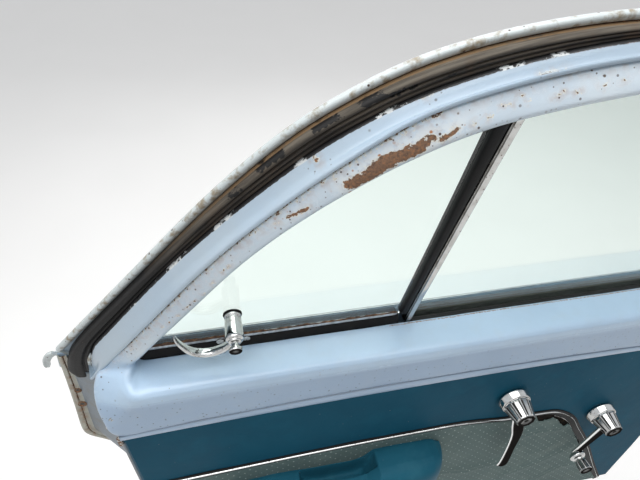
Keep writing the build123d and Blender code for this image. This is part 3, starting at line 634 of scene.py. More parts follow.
def chrome(name, pitted, fluted=False):
    """Plated metal with a soft bloom and pits; pitted is the share of cells with one. Where it is fluted, the
    marked furrows and flat sides get a painted dark reflection and painted shade, and the marked edges a
    painted highlight."""
    look = Finish(name, (0.56, 0.56, 0.55, 1), .09, Metallic=1.0, Specular_IOR_Level=0.0)
    look.coat(look.clouds(60.0, .45, .75), (0.42, 0.41, 0.39, 1), .22)
    look.coat(look.specks(420.0, pitted, .22), (0.16, 0.12, 0.09, 1), .6)
    look.coat(look.specks(190.0, pitted * .5, .16), (0.10, 0.07, 0.05, 1), .7)
    if fluted:
        # Painted dark reflection and shade where marked, with no metal there, and a painted highlight on the
        # marked edges.
        look.coat(look.mark("dark"), (0.020, 0.018, 0.017, 1), .4)
        look.coat(look.mark("edge"), (0.86, 0.86, 0.85, 1), .08)
        look.coats["Metallic"] = look.fit(look.mark("dark"), 0, 1, 1, 0)
    look.bump(look.noise(90, 2), .04)
    look.bump(look.specks(420.0, pitted, .22), -.08)
    return look.done()


def channel_chrome():
    look = Finish("channel_chrome", (0.78, 0.78, 0.77, 1), .3, Metallic=.8)
    look.coat(look.clouds(80.0, .46, .68), (0.44, 0.43, 0.41, 1), .45)
    worn = look.times(look.mark("worn"), look.clouds(70.0, .46, .56))
    look.coat(worn, (0.09, 0.06, 0.045, 1), .75)
    look.coat(look.specks(240.0, .25, .2), (0.12, 0.09, 0.07, 1), .7)
    look.bump(look.clouds(110.0, .38, .52), -.15)
    return look.done()


def rubber(name, colour, aged=False):
    look = Finish(name, srgb(*colour), .5, Specular_IOR_Level=0.16)
    look.coat(look.times(look.clouds(30.0, .45, .7), .3), srgb(42, 40, 38), .7)
    look.coat(look.specks(170.0, .05, .10), srgb(104, 98, 88), .8)
    if aged:
        # Streaks along the seal: noise on its own length and width, drawn out along it
        age, across = look.mark("age"), look.mark("across")
        flat = node(look.tree, "ShaderNodeUVMap", uv_map="surface")
        drawn = node(look.tree, "ShaderNodeVectorMath", {0: flat, 1: (14.0, 210.0, 1.0)},
                     operation="MULTIPLY")
        streaks = node(look.tree, "ShaderNodeTexNoise",
                       {"Vector": drawn, "Scale": 1.0, "Detail": 5.0, "Roughness": .6})
        top = look.fit(across, .80, .96)
        look.coat(look.times(age, look.fit(streaks, .30, .62)), srgb(84, 76, 67), .8)
        look.coat(look.times(age, top), srgb(78, 72, 64), .7)
        look.coat(look.times(age, top, look.fit(streaks, .42, .62)), srgb(108, 101, 90), .75)
        look.coat(look.times(age, look.clouds(35.0, .52, .74), .45), srgb(92, 70, 52), .85)
        waves = arith(look.tree, "SUBTRACT", look.noise(260, 4), .5)
        ragged = look.sum(look.mark("black"), look.times(waves, 8.0))
        look.coat(look.fit(ragged, .5, -.3), srgb(20, 19, 19), .5)
        rusty = look.times(age, look.fit(across, 1.012, 1.026), look.clouds(90.0, .30, .48))
        look.coat(rusty, srgb(128, 104, 78), .85)
        look.coat(look.times(age, look.fit(across, .16, .06)), srgb(30, 27, 26), .6)
        look.coat(look.times(look.mark("crest"), .6), srgb(74, 73, 72), .6)
    look.bump(look.noise(240, 4), .25)
    return look.done()


def felt_cloth():
    look = Finish("felt", srgb(44, 42, 40), .95, Sheen_Weight=0.4)
    look.coat(look.clouds(300.0, .4, .6), srgb(70, 66, 60))
    look.bump(look.noise(1600, 2), .4)
    return look.done()


def rust_band():
    """Rusty sealant at the foot of the quarter glass, mottled from dark brown to a pale crust."""
    look = Finish("rusty_sealant", srgb(92, 66, 48), .85)
    look.coats["Base Color"] = ramp(look.tree, look.noise(180, 6, .7), (
        (.32, srgb(38, 28, 24)), (.5, srgb(96, 66, 46)), (.62, srgb(146, 106, 72)),
                (.75, srgb(190, 178, 158))))
    look.bump(look.noise(320, 5), .6)
    return look.done()


def steel(name, colour, rough, rusty):
    look = Finish(name, colour, rough, Metallic=.85)
    look.coat(look.clouds(45.0, .4, .7), (*(c * .7 for c in colour[:3]), 1), rough + .15)
    look.coat(look.clouds(28.0, .62 - rusty, .74 - rusty), RUST_DARK, .85)
    # Painted shade where marked.
    look.coat(look.mark("dark"), (0.03, 0.028, 0.026, 1), .8)
    look.bump(look.noise(300, 4), .12)
    return look.done()


def pane(name, colour):
    """Clear glass with a faint green tint; smears show only as a little roughness."""
    look = Finish(name, colour, .0, Transmission_Weight=1.0, IOR=1.45)
    look.coats["Roughness"] = look.fit(look.clouds(14.0, .5, .8), 0, 1, .0, .07)
    return look.done()


DOOR_PAINT, FRAME_PAINT, SHADED_JAMB_PAINT, SKIN_PAINT = door_paint(), frame_paint(), shaded_jamb_paint(), skin_paint()
TEAL = panel_vinyl()
# The armrest wears the panel's teal vinyl made lighter: painted light on its upward-facing top.
LIT_REST_VINYL = vinyl("rest_vinyl_lit", srgb(38, 98, 118), srgb(28, 82, 102), srgb(60, 116, 132), 900.0, .45).done()
PALE = vinyl("insert_vinyl", srgb(104, 122, 120), srgb(88, 106, 104), srgb(128, 142, 136), 620.0, .55,
             True).done()
CHROME, HANDLE_CHROME = chrome("bright_trim", .03), chrome("handle_chrome", .04, True)
OLD_CHROME, CHANNEL = chrome("pitted_trim", .30, True), channel_chrome()
RUBBER, SEAL_RUBBER = rubber("black_rubber", (11, 11, 12)), rubber("seal_rubber", (28, 27, 27), True)
WIPER = rubber("wiper_rubber", (46, 47, 46))
FELT, SEALANT, GLASS = felt_cloth(), rust_band(), pane("glass", (0.84, 0.94, 0.90, 1))
HINGE = steel("hinge_steel", (.42, .43, .44, 1), .42, .06)
LOCK = steel("lock_steel", (.7, .7, .69, 1), .35, 0.0)
SCREW = steel("screw_steel", (.62, .62, .60, 1), .45, .0)

# The slot of every finish that a piece wears
SLOTS = {look.name: slot for slot, looks in (
    ("body_paint", (DOOR_PAINT, FRAME_PAINT, SHADED_JAMB_PAINT)), ("upper_vinyl", (TEAL, LIT_REST_VINYL)),
    ("insert_vinyl", (PALE,)), ("bright_trim", (CHROME, HANDLE_CHROME, OLD_CHROME, CHANNEL, SCREW)),
    ("seal_rubber", (RUBBER, SEAL_RUBBER, SEALANT)), ("felt", (WIPER,))) for look in looks}


# Frame face, cap and rail: one pressing. Each row runs from the opening's edge to the outer
# edge as (share of the way across, share of the way inboard) for frame and for rail.
FRAME_SHAPE = np.array(((0, -1.2), (0, -.3), (.02, .45), (.07, 1.05), (.16, 1.55), (.30, 1.78),
                        (.48, 1.66), (.66, 1.44), (.84, 1.17), (.965, .98), (1.0, .70)))
RAIL_SHAPE = np.array(((.08, -.036), (.015, -.02), (0, .04), (.015, .31), (.03, .6), (.05, .84),
                       (.10, .955), (.20, 1), (.60, 1), (.985, 1), (1.0, .93)))
# Rows of the cap: inner X, inner Z, outer X, outer Z, inner Y, outer Y, share of the rail's
# shape, depth of the wall behind the outer edge
CAP = np.array((
    (-1016, 36, -1037.5, 53, 44, 34, 0, 0), (-1024, 26, -1052, 38, 46.5, 37, 0, 0),
    (-1029, 17, -1068, 16, 49, 40, .08, 4), (-1031, 11, -1083, 5, 51, 34, .25, 14),
    (-1031, 6, -1089.5, -13, 53, 25, .45, 26), (-1029, 3, -1090, -38, 54, 14, .65, 34),
    (-1026, 1, -1086, -62, 55, 6, .8, 30), (-1021, 0, -1081, -82, 55, 1.5, .92, 16),
    (-1010, 0, -1066, -93, 55, 0, 1, 0), (-990, 0, -1030, -91.3, 55, 0, 1, 0)))
FRAME_IN_Y, FRAME_OUT_Y = 52.0, 45.5
RAIL_FRONT, RAIL_LIP_Y = 3.0, 55.0

# Rust on the frame as strokes in the leaning plane (x1, z1, x2, z2, radius)
FACE_RUST = (
    (-767, 324, -757, 330, 6.2), (-757, 331, -749, 334, 5.4), (-747, 337, -741, 344, 7.4),
    (-741, 345, -731, 350, 7.4), (-731, 350, -722, 355, 6.4), (-722, 355, -712, 361, 6.0),
    (-711, 361, -703, 368, 5.4), (-702, 368, -698, 372, 3.6), (-691, 371, -687, 374, 2.9),
    (-683, 376, -679, 380, 2.7), (-698, 378, -697, 378, 1.0), (-826, 282, -804, 297, 1.6),
    (-820, 286, -808, 293, 2.4), (-838, 276, -831, 278, 1.2), (-856, 266, -855, 266, .7),
    (-834, 288, -833, 288, .8), (-810, 306, -809, 306, .8), (-817, 305, -816, 305, .5),
    (-804, 291, -803, 291, 1.0), (-896, 205, -886, 217, .9), (-907, 187, -904, 191, .9),
    (-919, 170, -916, 173, .8), (-931, 156, -929, 159, .7), (-942, 143, -938, 149, .6),
    (-954, 129, -951, 132, .7), (-966, 116, -963, 119, .6), (-976, 105, -972, 109, .5),
    (-990, 121, -983, 128, .5), (-1001, 103, -998, 107, .9), (-1010, 88, -1008, 91, .7),
    (-1026, 54, -1024, 58, .8), (-665, 383, -662, 385, 1.2), (-654, 390, -650, 392, 1.1),
    (-643, 399, -640, 401, .8), (-635, 401, -633, 401, .6), (-628, 408, -625, 410, .9),
    (-619, 404, -617, 404, .7), (-596, 406, -593, 408, .9), (-589, 411, -587, 411, .6),
    (-577, 410, -574, 411, .7), (-554, 415, -551, 416, .8), (-536, 419, -533, 420, .7),
    (-780, 330, -779, 330, .9), (-729, 365, -727, 365, .9))
BAND_RUST = ((-711, 404, -699, 409, 1.7), (-798, 344, -796, 346, 1.7), (-606, 424, -583, 427, 1.2),
             (-480, 446, -440, 449, .8), (-420, 452, -380, 453, 1.2), (-350, 454, -300, 455, 1.0))


def on_lean(points):
    """The two coordinates of points in the window's leaning plane."""
    return np.stack((points[..., 0], points[..., 2] / cos(TILT)), -1)


def seam_z(x):
    """Height of the seam over the rail's hem: a parabola, highest in the middle of the door."""
    return -76.5 - 16.0 * ((np.asarray(x) + 640) / 431) ** 2 * (1 - .25 * (np.asarray(x) > -640))


def hem_z(x):
    """Height of the hem's lower edge, where the vinyl starts."""
    return -94.5 - 9.5 * ((np.asarray(x) + 640) / 431) ** 2 * (1 - .15 * (np.asarray(x) > -640))


def face_rows(table):
    """Rows of points of the face from rows as in CAP: the shape runs between the inner and the outer
    edge, and two more points form the wall behind the outer edge."""
    table = np.asarray(table, float)
    share = table[:, 6:7, None]
    shape = FRAME_SHAPE * (1 - share) + RAIL_SHAPE * share
    a, h = shape[..., 0], shape[..., 1]
    col = [table[:, k:k + 1] for k in range(6)]
    rows = np.stack((col[0] + a * (col[2] - col[0]), col[4] + (col[5] - col[4]) * h,
                     col[1] + a * (col[3] - col[1])), -1)
    deep = table[:, 7][:, None, None] * np.array(((0.02, .3, 0), (0.10, 1, 0)))
    return np.concatenate((rows, rows[:, -1:] + deep), 1)


def build_face():
    """The frame's rows from front to rear, the cap's and the rail's, smoothed across."""
    inner, outer = station_points("E", 0, 0), station_points("D", 0, 0)
    zero = np.zeros(len(inner))
    table = np.stack((inner[:, 0], inner[:, 2], outer[:, 0], outer[:, 2], FRAME_IN_Y + inner[:, 1],
                      FRAME_OUT_Y + outer[:, 1], zero, zero), -1)
    # These rows end where the cap takes over at the rear, and at the sill in front
    table = table[(inner[:, 2] > 48) | ((inner[:, 0] > -200) & (inner[:, 2] > -2))]
    x = np.concatenate((np.linspace(-960, RAIL_FRONT - 1, 90), (RAIL_FRONT,)))
    one = np.ones(len(x))
    rail = np.stack((x, 0 * x, x - 10 * (x < -900), seam_z(x), RAIL_LIP_Y * one, 0 * x, one, 0 * x), -1)
    corner = np.concatenate((table[:3][::-1], CAP, rail[:2]))
    bend = smooth_rows(face_rows(corner), np.linspace(2, len(corner) - 2, 80))
    rows = np.concatenate((face_rows(table[::-1]), bend[1:-1], face_rows(rail[1:])))
    across = np.linspace(0, 12, 58)
    cols = smooth_across(rows, across)
    frame_rows, n = len(table), len(cols)
    rail_share = held((np.arange(n) - frame_rows) / 60)[:, None]
    lip = rail_share * np.exp(-((across - 2.0) / .32) ** 2)[None]
    lip = lip * np.clip((cols[..., 0] + 800) / 150, .2, 1)
    # The strokes hold at the frame's outer edge, and reach the rest of the face along a slant
    depth = cols[..., 1:2] + cols[..., 2:3] * np.tan(TILT)
    place = on_lean(cols) + np.clip(FRAME_OUT_Y - depth, -6, 8) * np.array((.3, -.5))
    rust = to_strokes(place, FACE_RUST) + .8
    # A thin line of rust along the crease's lower side
    line = np.abs(across - 9.3)[None] * 1.9 + .35 + 8 * rail_share + 2.2 * (place[..., 0] > -690)
    cols[..., 1] -= dents(cols)
    flaking = (np.exp(-(to_strokes(place, FACE_RUST[:10]) / 9) ** 2)
               + .6 * np.exp(-(to_strokes(place, FACE_RUST[11:15]) / 6) ** 2))
    # Painted light and shade: the frame's face is made paler than the rail as painted light, less so towards
    # the front, and the rail's upright face is darkened as painted shade. The frame's face also gets greyer
    # and darker towards the front.
    pale = (1 - held(rail_share * 3)) * held((11 - across) / 1.5)[None]
    front = held((cols[..., 0] + 520) / 160)
    pale = pale * (1 - .8 * front)
    dull = held((-22 - cols[..., 2]) / 10) * rail_share
    dull = np.maximum(dull, .6 * (1 - rail_share) * front)
    seam = held((across - 10.3) / .5)[None] * rail_share
    return grid(cols, behind=OUTSIDE, lip=lip, rust=np.minimum(rust, line), flaking=flaking, pale=pale,
                dull=dull, seam=seam)


def dents(points):
    """Shallow waves that the pressing has: a sum of three sines of the place along and up the door."""
    x, z = points[..., 0], points[..., 2]
    return (.22 * np.sin(x / 61 + z / 37) + .16 * np.sin(x / 23 - z / 51 + 1)
            + .10 * np.sin(x / 11 + z / 17 + 2))


piece("frame_and_rail_face", DOOR_PAINT, build_face(), replaces="waist_rail", thick=1.2)


def lengthwise(xs, profile):
    """Rows along the door of one (y, z) profile; the profile may have its own shape in every row."""
    profile = np.broadcast_to(np.asarray(profile, float), (len(xs), *np.shape(profile)[-2:]))
    xs = np.broadcast_to(np.asarray(xs)[:, None, None], (*profile.shape[:2], 1))
    return np.concatenate((xs, profile), -1)


# Hem under the seam: the rail's folded lower edge, proud of the vinyl, as y, share of the way from
# the seam to the hem's edge, and a shift in Z
hem_x = np.linspace(-1073, 3, 140)
HEM_PROFILE = ((3.5, 0, 0), (2.2, 0, -.8), (-.4, 0, -1.8), (-1.0, 0, -3.2), (-1.1, .5, 0),
               (-1.0, 1, 1.4), (-.5, 1, .2), (2.5, 1, .1))
hem = np.array(HEM_PROFILE)
hem_height = seam_z(hem_x)[:, None] * (1 - hem[:, 1]) + hem_z(hem_x)[:, None] * hem[:, 1] + hem[:, 2]
hem_rows = np.stack((np.broadcast_to(hem[:, 0], hem_height.shape), hem_height), -1)
HEM_SEAM = np.array(((1, 1, .8, .15, 0, 0, 0, 0),))
# The hem is darkened as painted shade, like the rail's upright face.
hem_face = grid(lengthwise(hem_x, hem_rows), behind=OUTSIDE, rust=NO_RUST, dull=.8, seam=HEM_SEAM)
piece("rail_hem", DOOR_PAINT, hem_face, thick=1.0)

# Plate that closes the rail's front end, a fan inside the rail's section
end_seam, end_hem = float(seam_z(RAIL_FRONT)) + 1, float(hem_z(RAIL_FRONT)) + 1
END = ((53.5, -1.2), (2.0, -1.2), (.8, -2.4), (.8, end_seam), (.8, end_hem), (53.5, end_hem))
# The end plate is darkened as painted shade.
piece("rail_front_cap", DOOR_PAINT, closed(lengthwise(np.array((.2, 1.6, 2.2)), END), dull=.6, rust=NO_RUST))

# At the foot the band outside the crease narrows, and the rim widens
foot_run = STATION * np.arange(len(crease))
OFFSETS["C"] = OFFSETS["C"] - 20 * held(1 - foot_run / 62) ** 1.5
rim_wide = 10.6 + 9 * np.exp(-foot_run / 30)

# Frame wall: band outside the crease, seat of the seal, rim, back and groove of the glass.
# Columns: edge, shift, y, corner radius, rim, groove, soot
WALL = (("D", -1, 48, 0, 0, 0, 0), ("D", .5, 46.4, .6, 0, .4, 0), ("D", 1.4, 44.6, .8, 0, .2, 0),
        ("D", 3.4, 43.2, 1.2, 0, 0, 0), ("D", 7, 44.4, 3, 0, 0, 0), ("C", -11, 54, 3, 0, 0, 0),
        ("C", -3.5, 61.5, 2, 0, .3, .25), ("C", 0, 66, 1, 0, .95, 1), ("C", 0, 84, 1, 0, 0, 1),
        ("C", 3, 86, 1, 0, 0, 1), ("A", -12, 86, 1, 0, 1, 0), ("A", -9.4, 85.4, .8, .4, .9, 0),
        ("A", -8.4, 83.4, 1, 1, .25, 0), ("A", -5.5, 81.9, 2.2, 1, 0, 0), ("A", -2.2, 82.4, 2, 1, 0, 0),
        ("A", 0, 85.6, 2, 1, 0, 0), ("A", 0, 89, 1.5, 1, 0, 0), ("A", -1.2, 92, 1, 1, .2, 0),
        ("E", 14, 92, 2, 0, 0, 0), ("E", 12, 91, 1, 0, 0, 0), ("E", 3, 84, 2, 0, 0, 0),
        ("E", .5, 82, 1, 0, 0, 0), ("E", 0, 79, 1, 0, 0, 0), ("E", 10, 78.5, 1, 0, 0, 0),
        ("E", 10, 60, 1, 0, 0, 0), ("E", 1, 58, 0, 0, 0, 0))
wall_radii = [row[3] for row in WALL]
wall = rounded(np.stack([station_points(*row[:3]) for row in WALL], 1), wall_radii, steps=4)
wall_marks = {key: spread([row[k] for row in WALL], wall_radii, 4)[None]
              for key, k in (("rim", 4), ("groove", 5), ("soot", 6))}
# The rusty groove grows, and the paint gets greyer and darker, towards the front of the frame
growth = np.clip((wall[:, :1, 0] + 1100) / 500, .35, 1) * (wall[:, :1, 0] < 40)
wall_marks["groove"] = wall_marks["groove"] * growth
wall_marks["dull"] = np.clip((wall[..., 0] + 780) / 260, 0, .75)
wall_marks["rust"] = to_strokes(on_lean(wall), BAND_RUST)
piece("frame_wall", FRAME_PAINT, closed(wall, **wall_marks), replaces="window_frame")

# Hook at the flange's foot and the pale tongue beside it
HOOK_OUT = ((-1149, 9), (-1155, 6.5), (-1163, -2), (-1168.5, -14), (-1171, -25.5), (-1170.5, -29.5))
HOOK_IN = ((-1145, 1), (-1150.5, -3), (-1156, -11), (-1161, -20), (-1163.5, -29), (-1165, -31.5))
hook_sides = [curve_through(side, 28) for side in (HOOK_OUT, HOOK_IN)]
HOOK_SECTION = ((0, 90.5), (-.04, 88), (.05, 85.4), (.25, 84.4), (.55, 85.8), (.8, 85.2), (.97, 85.8),
                (1.03, 88), (1, 90.5), (.5, 91))
hook = np.stack([lean(*(hook_sides[0] * (1 - q) + hook_sides[1] * q).T, y) for q, y in HOOK_SECTION], 1)
TONGUE = (((-1147, 4), (-1133, 0)), ((-1148, -8), (-1138, -12)), ((-1150, -20), (-1144, -23)),
          ((-1152, -33), (-1151, -35)))
tongue = curve_through(TONGUE, 16)
tongue = np.stack((tongue[..., 0], 89.5 + .5 * np.abs(tongue[..., 1]) ** .5, tongue[..., 1]), -1)
tongue = np.concatenate((tongue, tongue[:, ::-1] + (0, 1.6, 0)), 1)
piece("flange_hook", FRAME_PAINT, closed(hook, rim=1.0, rust=9.0), closed(tongue, rim=.8, rust=6.0))

# Seal in the corner of wall and flange: flat with one furrow behind, ribbed towards the front. Its
# skin has gone grey brown but for black patches, as strokes in the leaning plane
PATCHES = ((-798, 372, -787, 380, 2.4), (-787, 380, -775, 385, 2.0), (-757, 396, -744, 403, 2.6),
           (-744, 403, -726, 408, 2.4), (-725, 409, -709, 415, 1.2), (-852, 328, -840, 338, 2.4),
           (-840, 338, -828, 348, 2.6), (-881, 295, -868, 307, 1.4), (-689, 421, -678, 424, 0.9))
SEAL_REAR = ((0, 71), (.10, 69.6), (.26, 69.2), (.36, 71.8), (.46, 69.4), (.58, 69.0), (.68, 69.2),
             (.78, 69.3), (.91, 70.6), (1, 74), (1, 77.2), (1.03, 80), (1.05, 85.5), (.9, 87),
             (.05, 86), (.02, 80))
SEAL_FRONT = ((0, 71), (.08, 69), (.24, 68.4), (.33, 71.6), (.41, 68.6), (.55, 68.2), (.64, 71.6),
              (.72, 68.8), (.90, 69.4), (1, 73), (1, 77.2), (1.03, 80), (1.05, 85.5), (.9, 87),
              (.05, 86), (.02, 80))
aged = held((crease[:, 0] + 960) / 140)
profile = (1 - aged)[:, None, None] * np.array(SEAL_REAR) + aged[:, None, None] * np.array(SEAL_FRONT)
reach = OFFSETS["C"][:, None] + profile[..., 0] * (OFFSETS["A"] - rim_wide - OFFSETS["C"])[:, None]
side = crease[:, None] + outward[:, None] * reach[..., None]
seal = lean(side[..., 0], side[..., 1], profile[..., 1])
# Below the sill the seal hangs on: its rows turn upright and end in front of the hem. Each row is
# given as inner X, outer X, y, share of the seal's depth, inner Z and the rise to the outer edge
q, y = np.array(SEAL_REAR).T
TAILS = ((-1108, -1131, 79.5, .62, -50, 4), (-1100, -1136, 77, .8, -38, 12))
TAIL_ROWS = 15
tails = np.stack([np.stack((inner + (outer - inner) * q, shift + (y - y[0]) * deep, low + tip * q), -1)
                  for inner, outer, shift, deep, low, tip in TAILS])
seal = smooth_rows(np.concatenate((tails, seal)), np.concatenate((
    np.linspace(0, len(TAILS), TAIL_ROWS, endpoint=False), np.arange(len(TAILS), len(seal) + len(TAILS)))))
seal_cols = np.linspace(0, 15, 46)
seal = smooth_across(seal, seal_cols)
seal_age = np.concatenate((np.zeros(TAIL_ROWS), aged))[:, None]
crest = held(np.interp(seal_cols, (0, 2, 2.9, 3, 3.1, 4, 9, 10, 15), (.1, .1, .9, .5, .9, .1, .3, 0, 0)))
piece("seal_rubber", SEAL_RUBBER,
      closed(seal, age=seal_age, crest=crest[None] * (.5 + .5 * seal_age),
             across=np.interp(seal_cols, np.arange(16), q)[None], black=to_strokes(on_lean(seal), PATCHES)),
      replaces="frame_seal")

# Curled lip of old sealant between the seal's end and the band
curl = even_line(((-1091, 20), (-1096, 6), (-1099, -8), (-1101, -20), (-1103, -29)), 2.0)
curl_turn = round_angles(12)
curl_wide = 3.4 * np.sin(np.linspace(.15, pi - .1, len(curl)))[:, None] + .4
curl_y = 64 + np.linspace(0, 10, len(curl))[:, None] + 1.6 * np.sin(curl_turn)
curl = np.stack((curl[:, :1] + curl_wide * np.cos(curl_turn), curl_y, curl[:, 1:] + 0 * curl_turn), -1)
piece("seal_curl", FRAME_PAINT, closed(curl, rim=1.0, rust=4.0))

# Points on the outline's rear edge, bend, arch, bottom, corner and front edge
OUTLINE_COUNTS = (40, 10, 60, 60, 10, 60)


def door_outline(edge, corner, top):
    """Outline of the door's lower half from the rear top round to the front top: the raked rear edge, a
    bend onto the wheel arch, the arch's arc, the bottom, a corner's arc and a straight."""
    front, bottom, rear, rake, radius = edge
    ahead = rear - ARCH_X
    square, slope = 1 + rake ** 2, rake * ahead - ARCH_Z
    z = (-slope + (slope ** 2 - square * (ahead ** 2 + ARCH_Z ** 2 - radius ** 2)) ** 0.5) / square
    meet = np.array((rear + rake * z, z))
    begin = np.arctan2(meet[1] - ARCH_Z, meet[0] - ARCH_X)
    low = np.arcsin((bottom - ARCH_Z) / radius)
    n = [np.linspace(0, 1, k, endpoint=False)[:, None] for k in OUTLINE_COUNTS]
    high = np.array((rear + rake * top, top))
    down = (meet - high) / np.linalg.norm(meet - high)
    leave = meet - down * ARCH_CORNER
    turn = begin - ARCH_CORNER / radius

    def arch_at(angle):
        return np.concatenate((ARCH_X + radius * np.cos(angle), ARCH_Z + radius * np.sin(angle)), -1)

    enter = arch_at(np.array((turn,)))
    foot = ARCH_X + radius * cos(low)
    bend = -pi / 2 + n[4] * pi / 2
    bend_x, bend_z = front - corner + corner * np.cos(bend), bottom + corner + corner * np.sin(bend)
    xz = [high + (leave - high) * n[0],
          (1 - n[1]) ** 2 * leave + 2 * n[1] * (1 - n[1]) * meet + n[1] ** 2 * enter,
          arch_at(turn + (low - turn) * n[2]),
          np.concatenate((foot + (front - corner - foot) * n[3], bottom + 0 * n[3]), -1),
          np.concatenate((bend_x, bend_z), -1),
          np.concatenate((front + 0 * n[5], bottom + corner + (top - bottom - corner) * n[5]), -1),
          np.array(((front, top),))]
    xz = np.concatenate(xz)
    return np.stack((xz[:, 0], np.zeros(len(xz)), xz[:, 1]), -1)


def skin_y(z, shift):
    """Y of the outer skin at a height: an arc up to its widest and one down from it, each a part of a
    circle through its two ends."""
    z = np.asarray(z, float)
    out = []
    for end, end_y in ((0.0, SKIN_BELT_Y), (-692.0, SKIN_FOOT_Y)):
        run, rise = abs(end - SKIN_WIDE_Z), SKIN_WIDE_Y - end_y
        r = (run ** 2 + rise ** 2) / (2 * rise)
        out.append(SKIN_WIDE_Y - r + np.sqrt(np.maximum(r ** 2 - (z - SKIN_WIDE_Z) ** 2, 0)))
    return np.where(z > SKIN_WIDE_Z, out[0], out[1]) + shift


def build_jamb():
    """The inner pressing: face behind the trim, jamb wall with its bend, flange, and the hem folded over
    the flange with a crack along its raw edge. Each column is an outline at its own y, or that far from
    the skin's curve."""
    inside = (TRAY_IN[0] - 60, TRAY_IN[1] + 60, TRAY_IN[2] + 50, 0, TRAY_IN[4] + 60)
    share = lambda t: tuple(a + (b - a) * t for a, b in zip(TRAY_OUT, SKIN_EDGE))
    # Outline, its top, its corner, y or depth under the skin, corner radius, flange, hem, distance to
    # the crack
    columns = ((inside, -96, 10, 5, 0, 0, 0, 40), (TRAY_IN, -88, 20, 5, 5, 0, 0, 40),
               (TRAY_STEP, -20, 20, STEP_Y, 16, 0, 0, 40), (share(0), -46, 20, -7.0, 5, 0, 0, 12),
               (share(.12), -2, 20, -6.6, 1, 1, 0, 9), (share(.44), -6, 22, -6.2, .8, 1, 0, 1.6),
               (share(.49), -6, 22, -5.2, .4, .5, .5, -.6), (share(.53), -5, 22, -7.2, .8, 0, 1, .5),
               (share(.72), -4, 24, -7.8, 1.5, 0, 1, 4), (share(.93), -4, 26, -7.0, 1.5, 0, 1, 9),
               (share(.995), -4, 26, -5.0, 1, 0, 1, 9), (share(1.0), -4, 26, -2.6, 0, 0, 1, 9))
    rings = []
    for edge, top, corner, y, *rest in columns:
        ring = door_outline(edge, corner, top)
        ring[:, 1] = y if y > 0 else skin_y(ring[:, 2], y)
        rings.append(ring)
    radii = [row[4] for row in columns]
    points = rounded(np.stack(rings, 1), radii)
    marks = {key: spread([row[k] for row in columns], radii)[None]
             for key, k in (("flange", 5), ("hem", 6), ("crack", 7))}
    # The crack is open and rusty down the rear edge and closed and painted elsewhere
    z, x = points[:, :1, 2], points[:, :1, 0]
    shut = held((-290 - z) / 40) + held((x + 900) / 40)
    marks["crack"] = marks["crack"] + 4 * held(shut)
    points[..., 0] = np.maximum(points[..., 0], REAR_LIMIT)
    return grid(points, behind=OUTSIDE, **marks)


def dish(place, wave, radius, turned=0.0, rings=14, turns=72, **marks):
    """A round plate that faces the cabin: at (r, angle) it stands wave(r, angle) mm inboard. The whole
    is turned by an angle, and a mark may be a function of r / radius."""
    r = np.linspace(0.02, 1, rings)[:, None] * radius
    turn = round_angles(turns)[None]
    place = np.asarray(place, float)
    side, up = np.array((cos(turned), 0, sin(turned))), np.array((-sin(turned), 0, cos(turned)))
    points = (place + (r * np.cos(turn))[..., None] * side + (r * np.sin(turn))[..., None] * up
              + wave(r, turn)[..., None] * INBOARD)
    return grid(points, ring=True, behind=place - 50 * INBOARD,
                **{key: value(r / radius) if callable(value) else value for key, value in marks.items()})


def rusted_hole(x, z, size):
    """A raised ring round a dark dip in the flange: the ring's height is a bell over its radius."""
    return dish((x, skin_y(z, -6.4), z), lambda r, turn: 1.5 * np.exp(-((r / size - .70) / .14) ** 2) + .3,
                size, flange=1.0, hem=0.0, crack=lambda q: 9 * np.abs(q - .62) - 2.4,
                hole=lambda q: held((.40 - q) / .08))


holes = [rusted_hole(-1147, -101, 6.6), rusted_hole(-1152.5, -143, 8.4)]
piece("jamb_pressing", SHADED_JAMB_PAINT, build_jamb(), *holes, replaces="inner_shell", thick=1.4)


def panel_grid(high, low, steps, edge_y, roll=4.0):
    """Panel between an upper and a lower line of as many points: straight rows from one to the other, at
    y 0, falling back to edge_y over a few mm round the border."""
    t = np.concatenate((np.linspace(0, .03, 5)[:-1], np.linspace(.03, .97, steps),
                        np.linspace(.97, 1, 5)[1:]))
    high, low = (np.asarray(v, float)[:, None] for v in (high, low))
    xz = high + (low - high) * t[None, :, None]
    border = np.minimum(np.linalg.norm(xz - high, axis=-1), np.linalg.norm(xz - low, axis=-1))
    ends = np.minimum(np.abs(xz[..., 0] - xz[0, :, 0]), np.abs(xz[..., 0] - xz[-1, :, 0]))
    border = np.minimum(border, ends)
    fall = held(1 - border / roll)
    y = edge_y * (1 - np.sqrt(1 - fall ** 2 * .999))
    return np.stack((xz[..., 0], y, xz[..., 1]), -1)


# Bright strip's line: the top of its bead as (X, Z)
STRIP = ((-1072, -253), (-997, -250), (-897, -246), (-794, -242), (-686, -240), (-573, -240),
         (-514, -241), (-460, -248), (-412, -256), (-350, -259), (-309, -264), (-276, -283),
         (-246, -312), (-217, -356), (-162, -438), (-90, -563), (-28, -666))
strip_line = even_line(STRIP, 4.0)


def below_strip(x):
    """Height of the strip's line over each X."""
    return np.interp(x, strip_line[:, 0], strip_line[:, 1])


def trim_foot(count, rear_share):
    """Points along the trim's lower edge: down the wheel arch, then forward along the bottom."""
    front, bottom, rear, rake, radius = TRIM_EDGE
    begin, low = np.arccos((rear - ARCH_X) / radius), np.arcsin((bottom - ARCH_Z) / radius)
    k = int(count * rear_share)
    angle = np.linspace(begin, low, k, endpoint=False)
    arch = np.stack((ARCH_X + radius * np.cos(angle), ARCH_Z + radius * np.sin(angle)), -1)
    flat = np.linspace(ARCH_X + radius * cos(low), front, count - k)
    return np.concatenate((arch, np.stack((flat, bottom + 0 * flat), -1)))


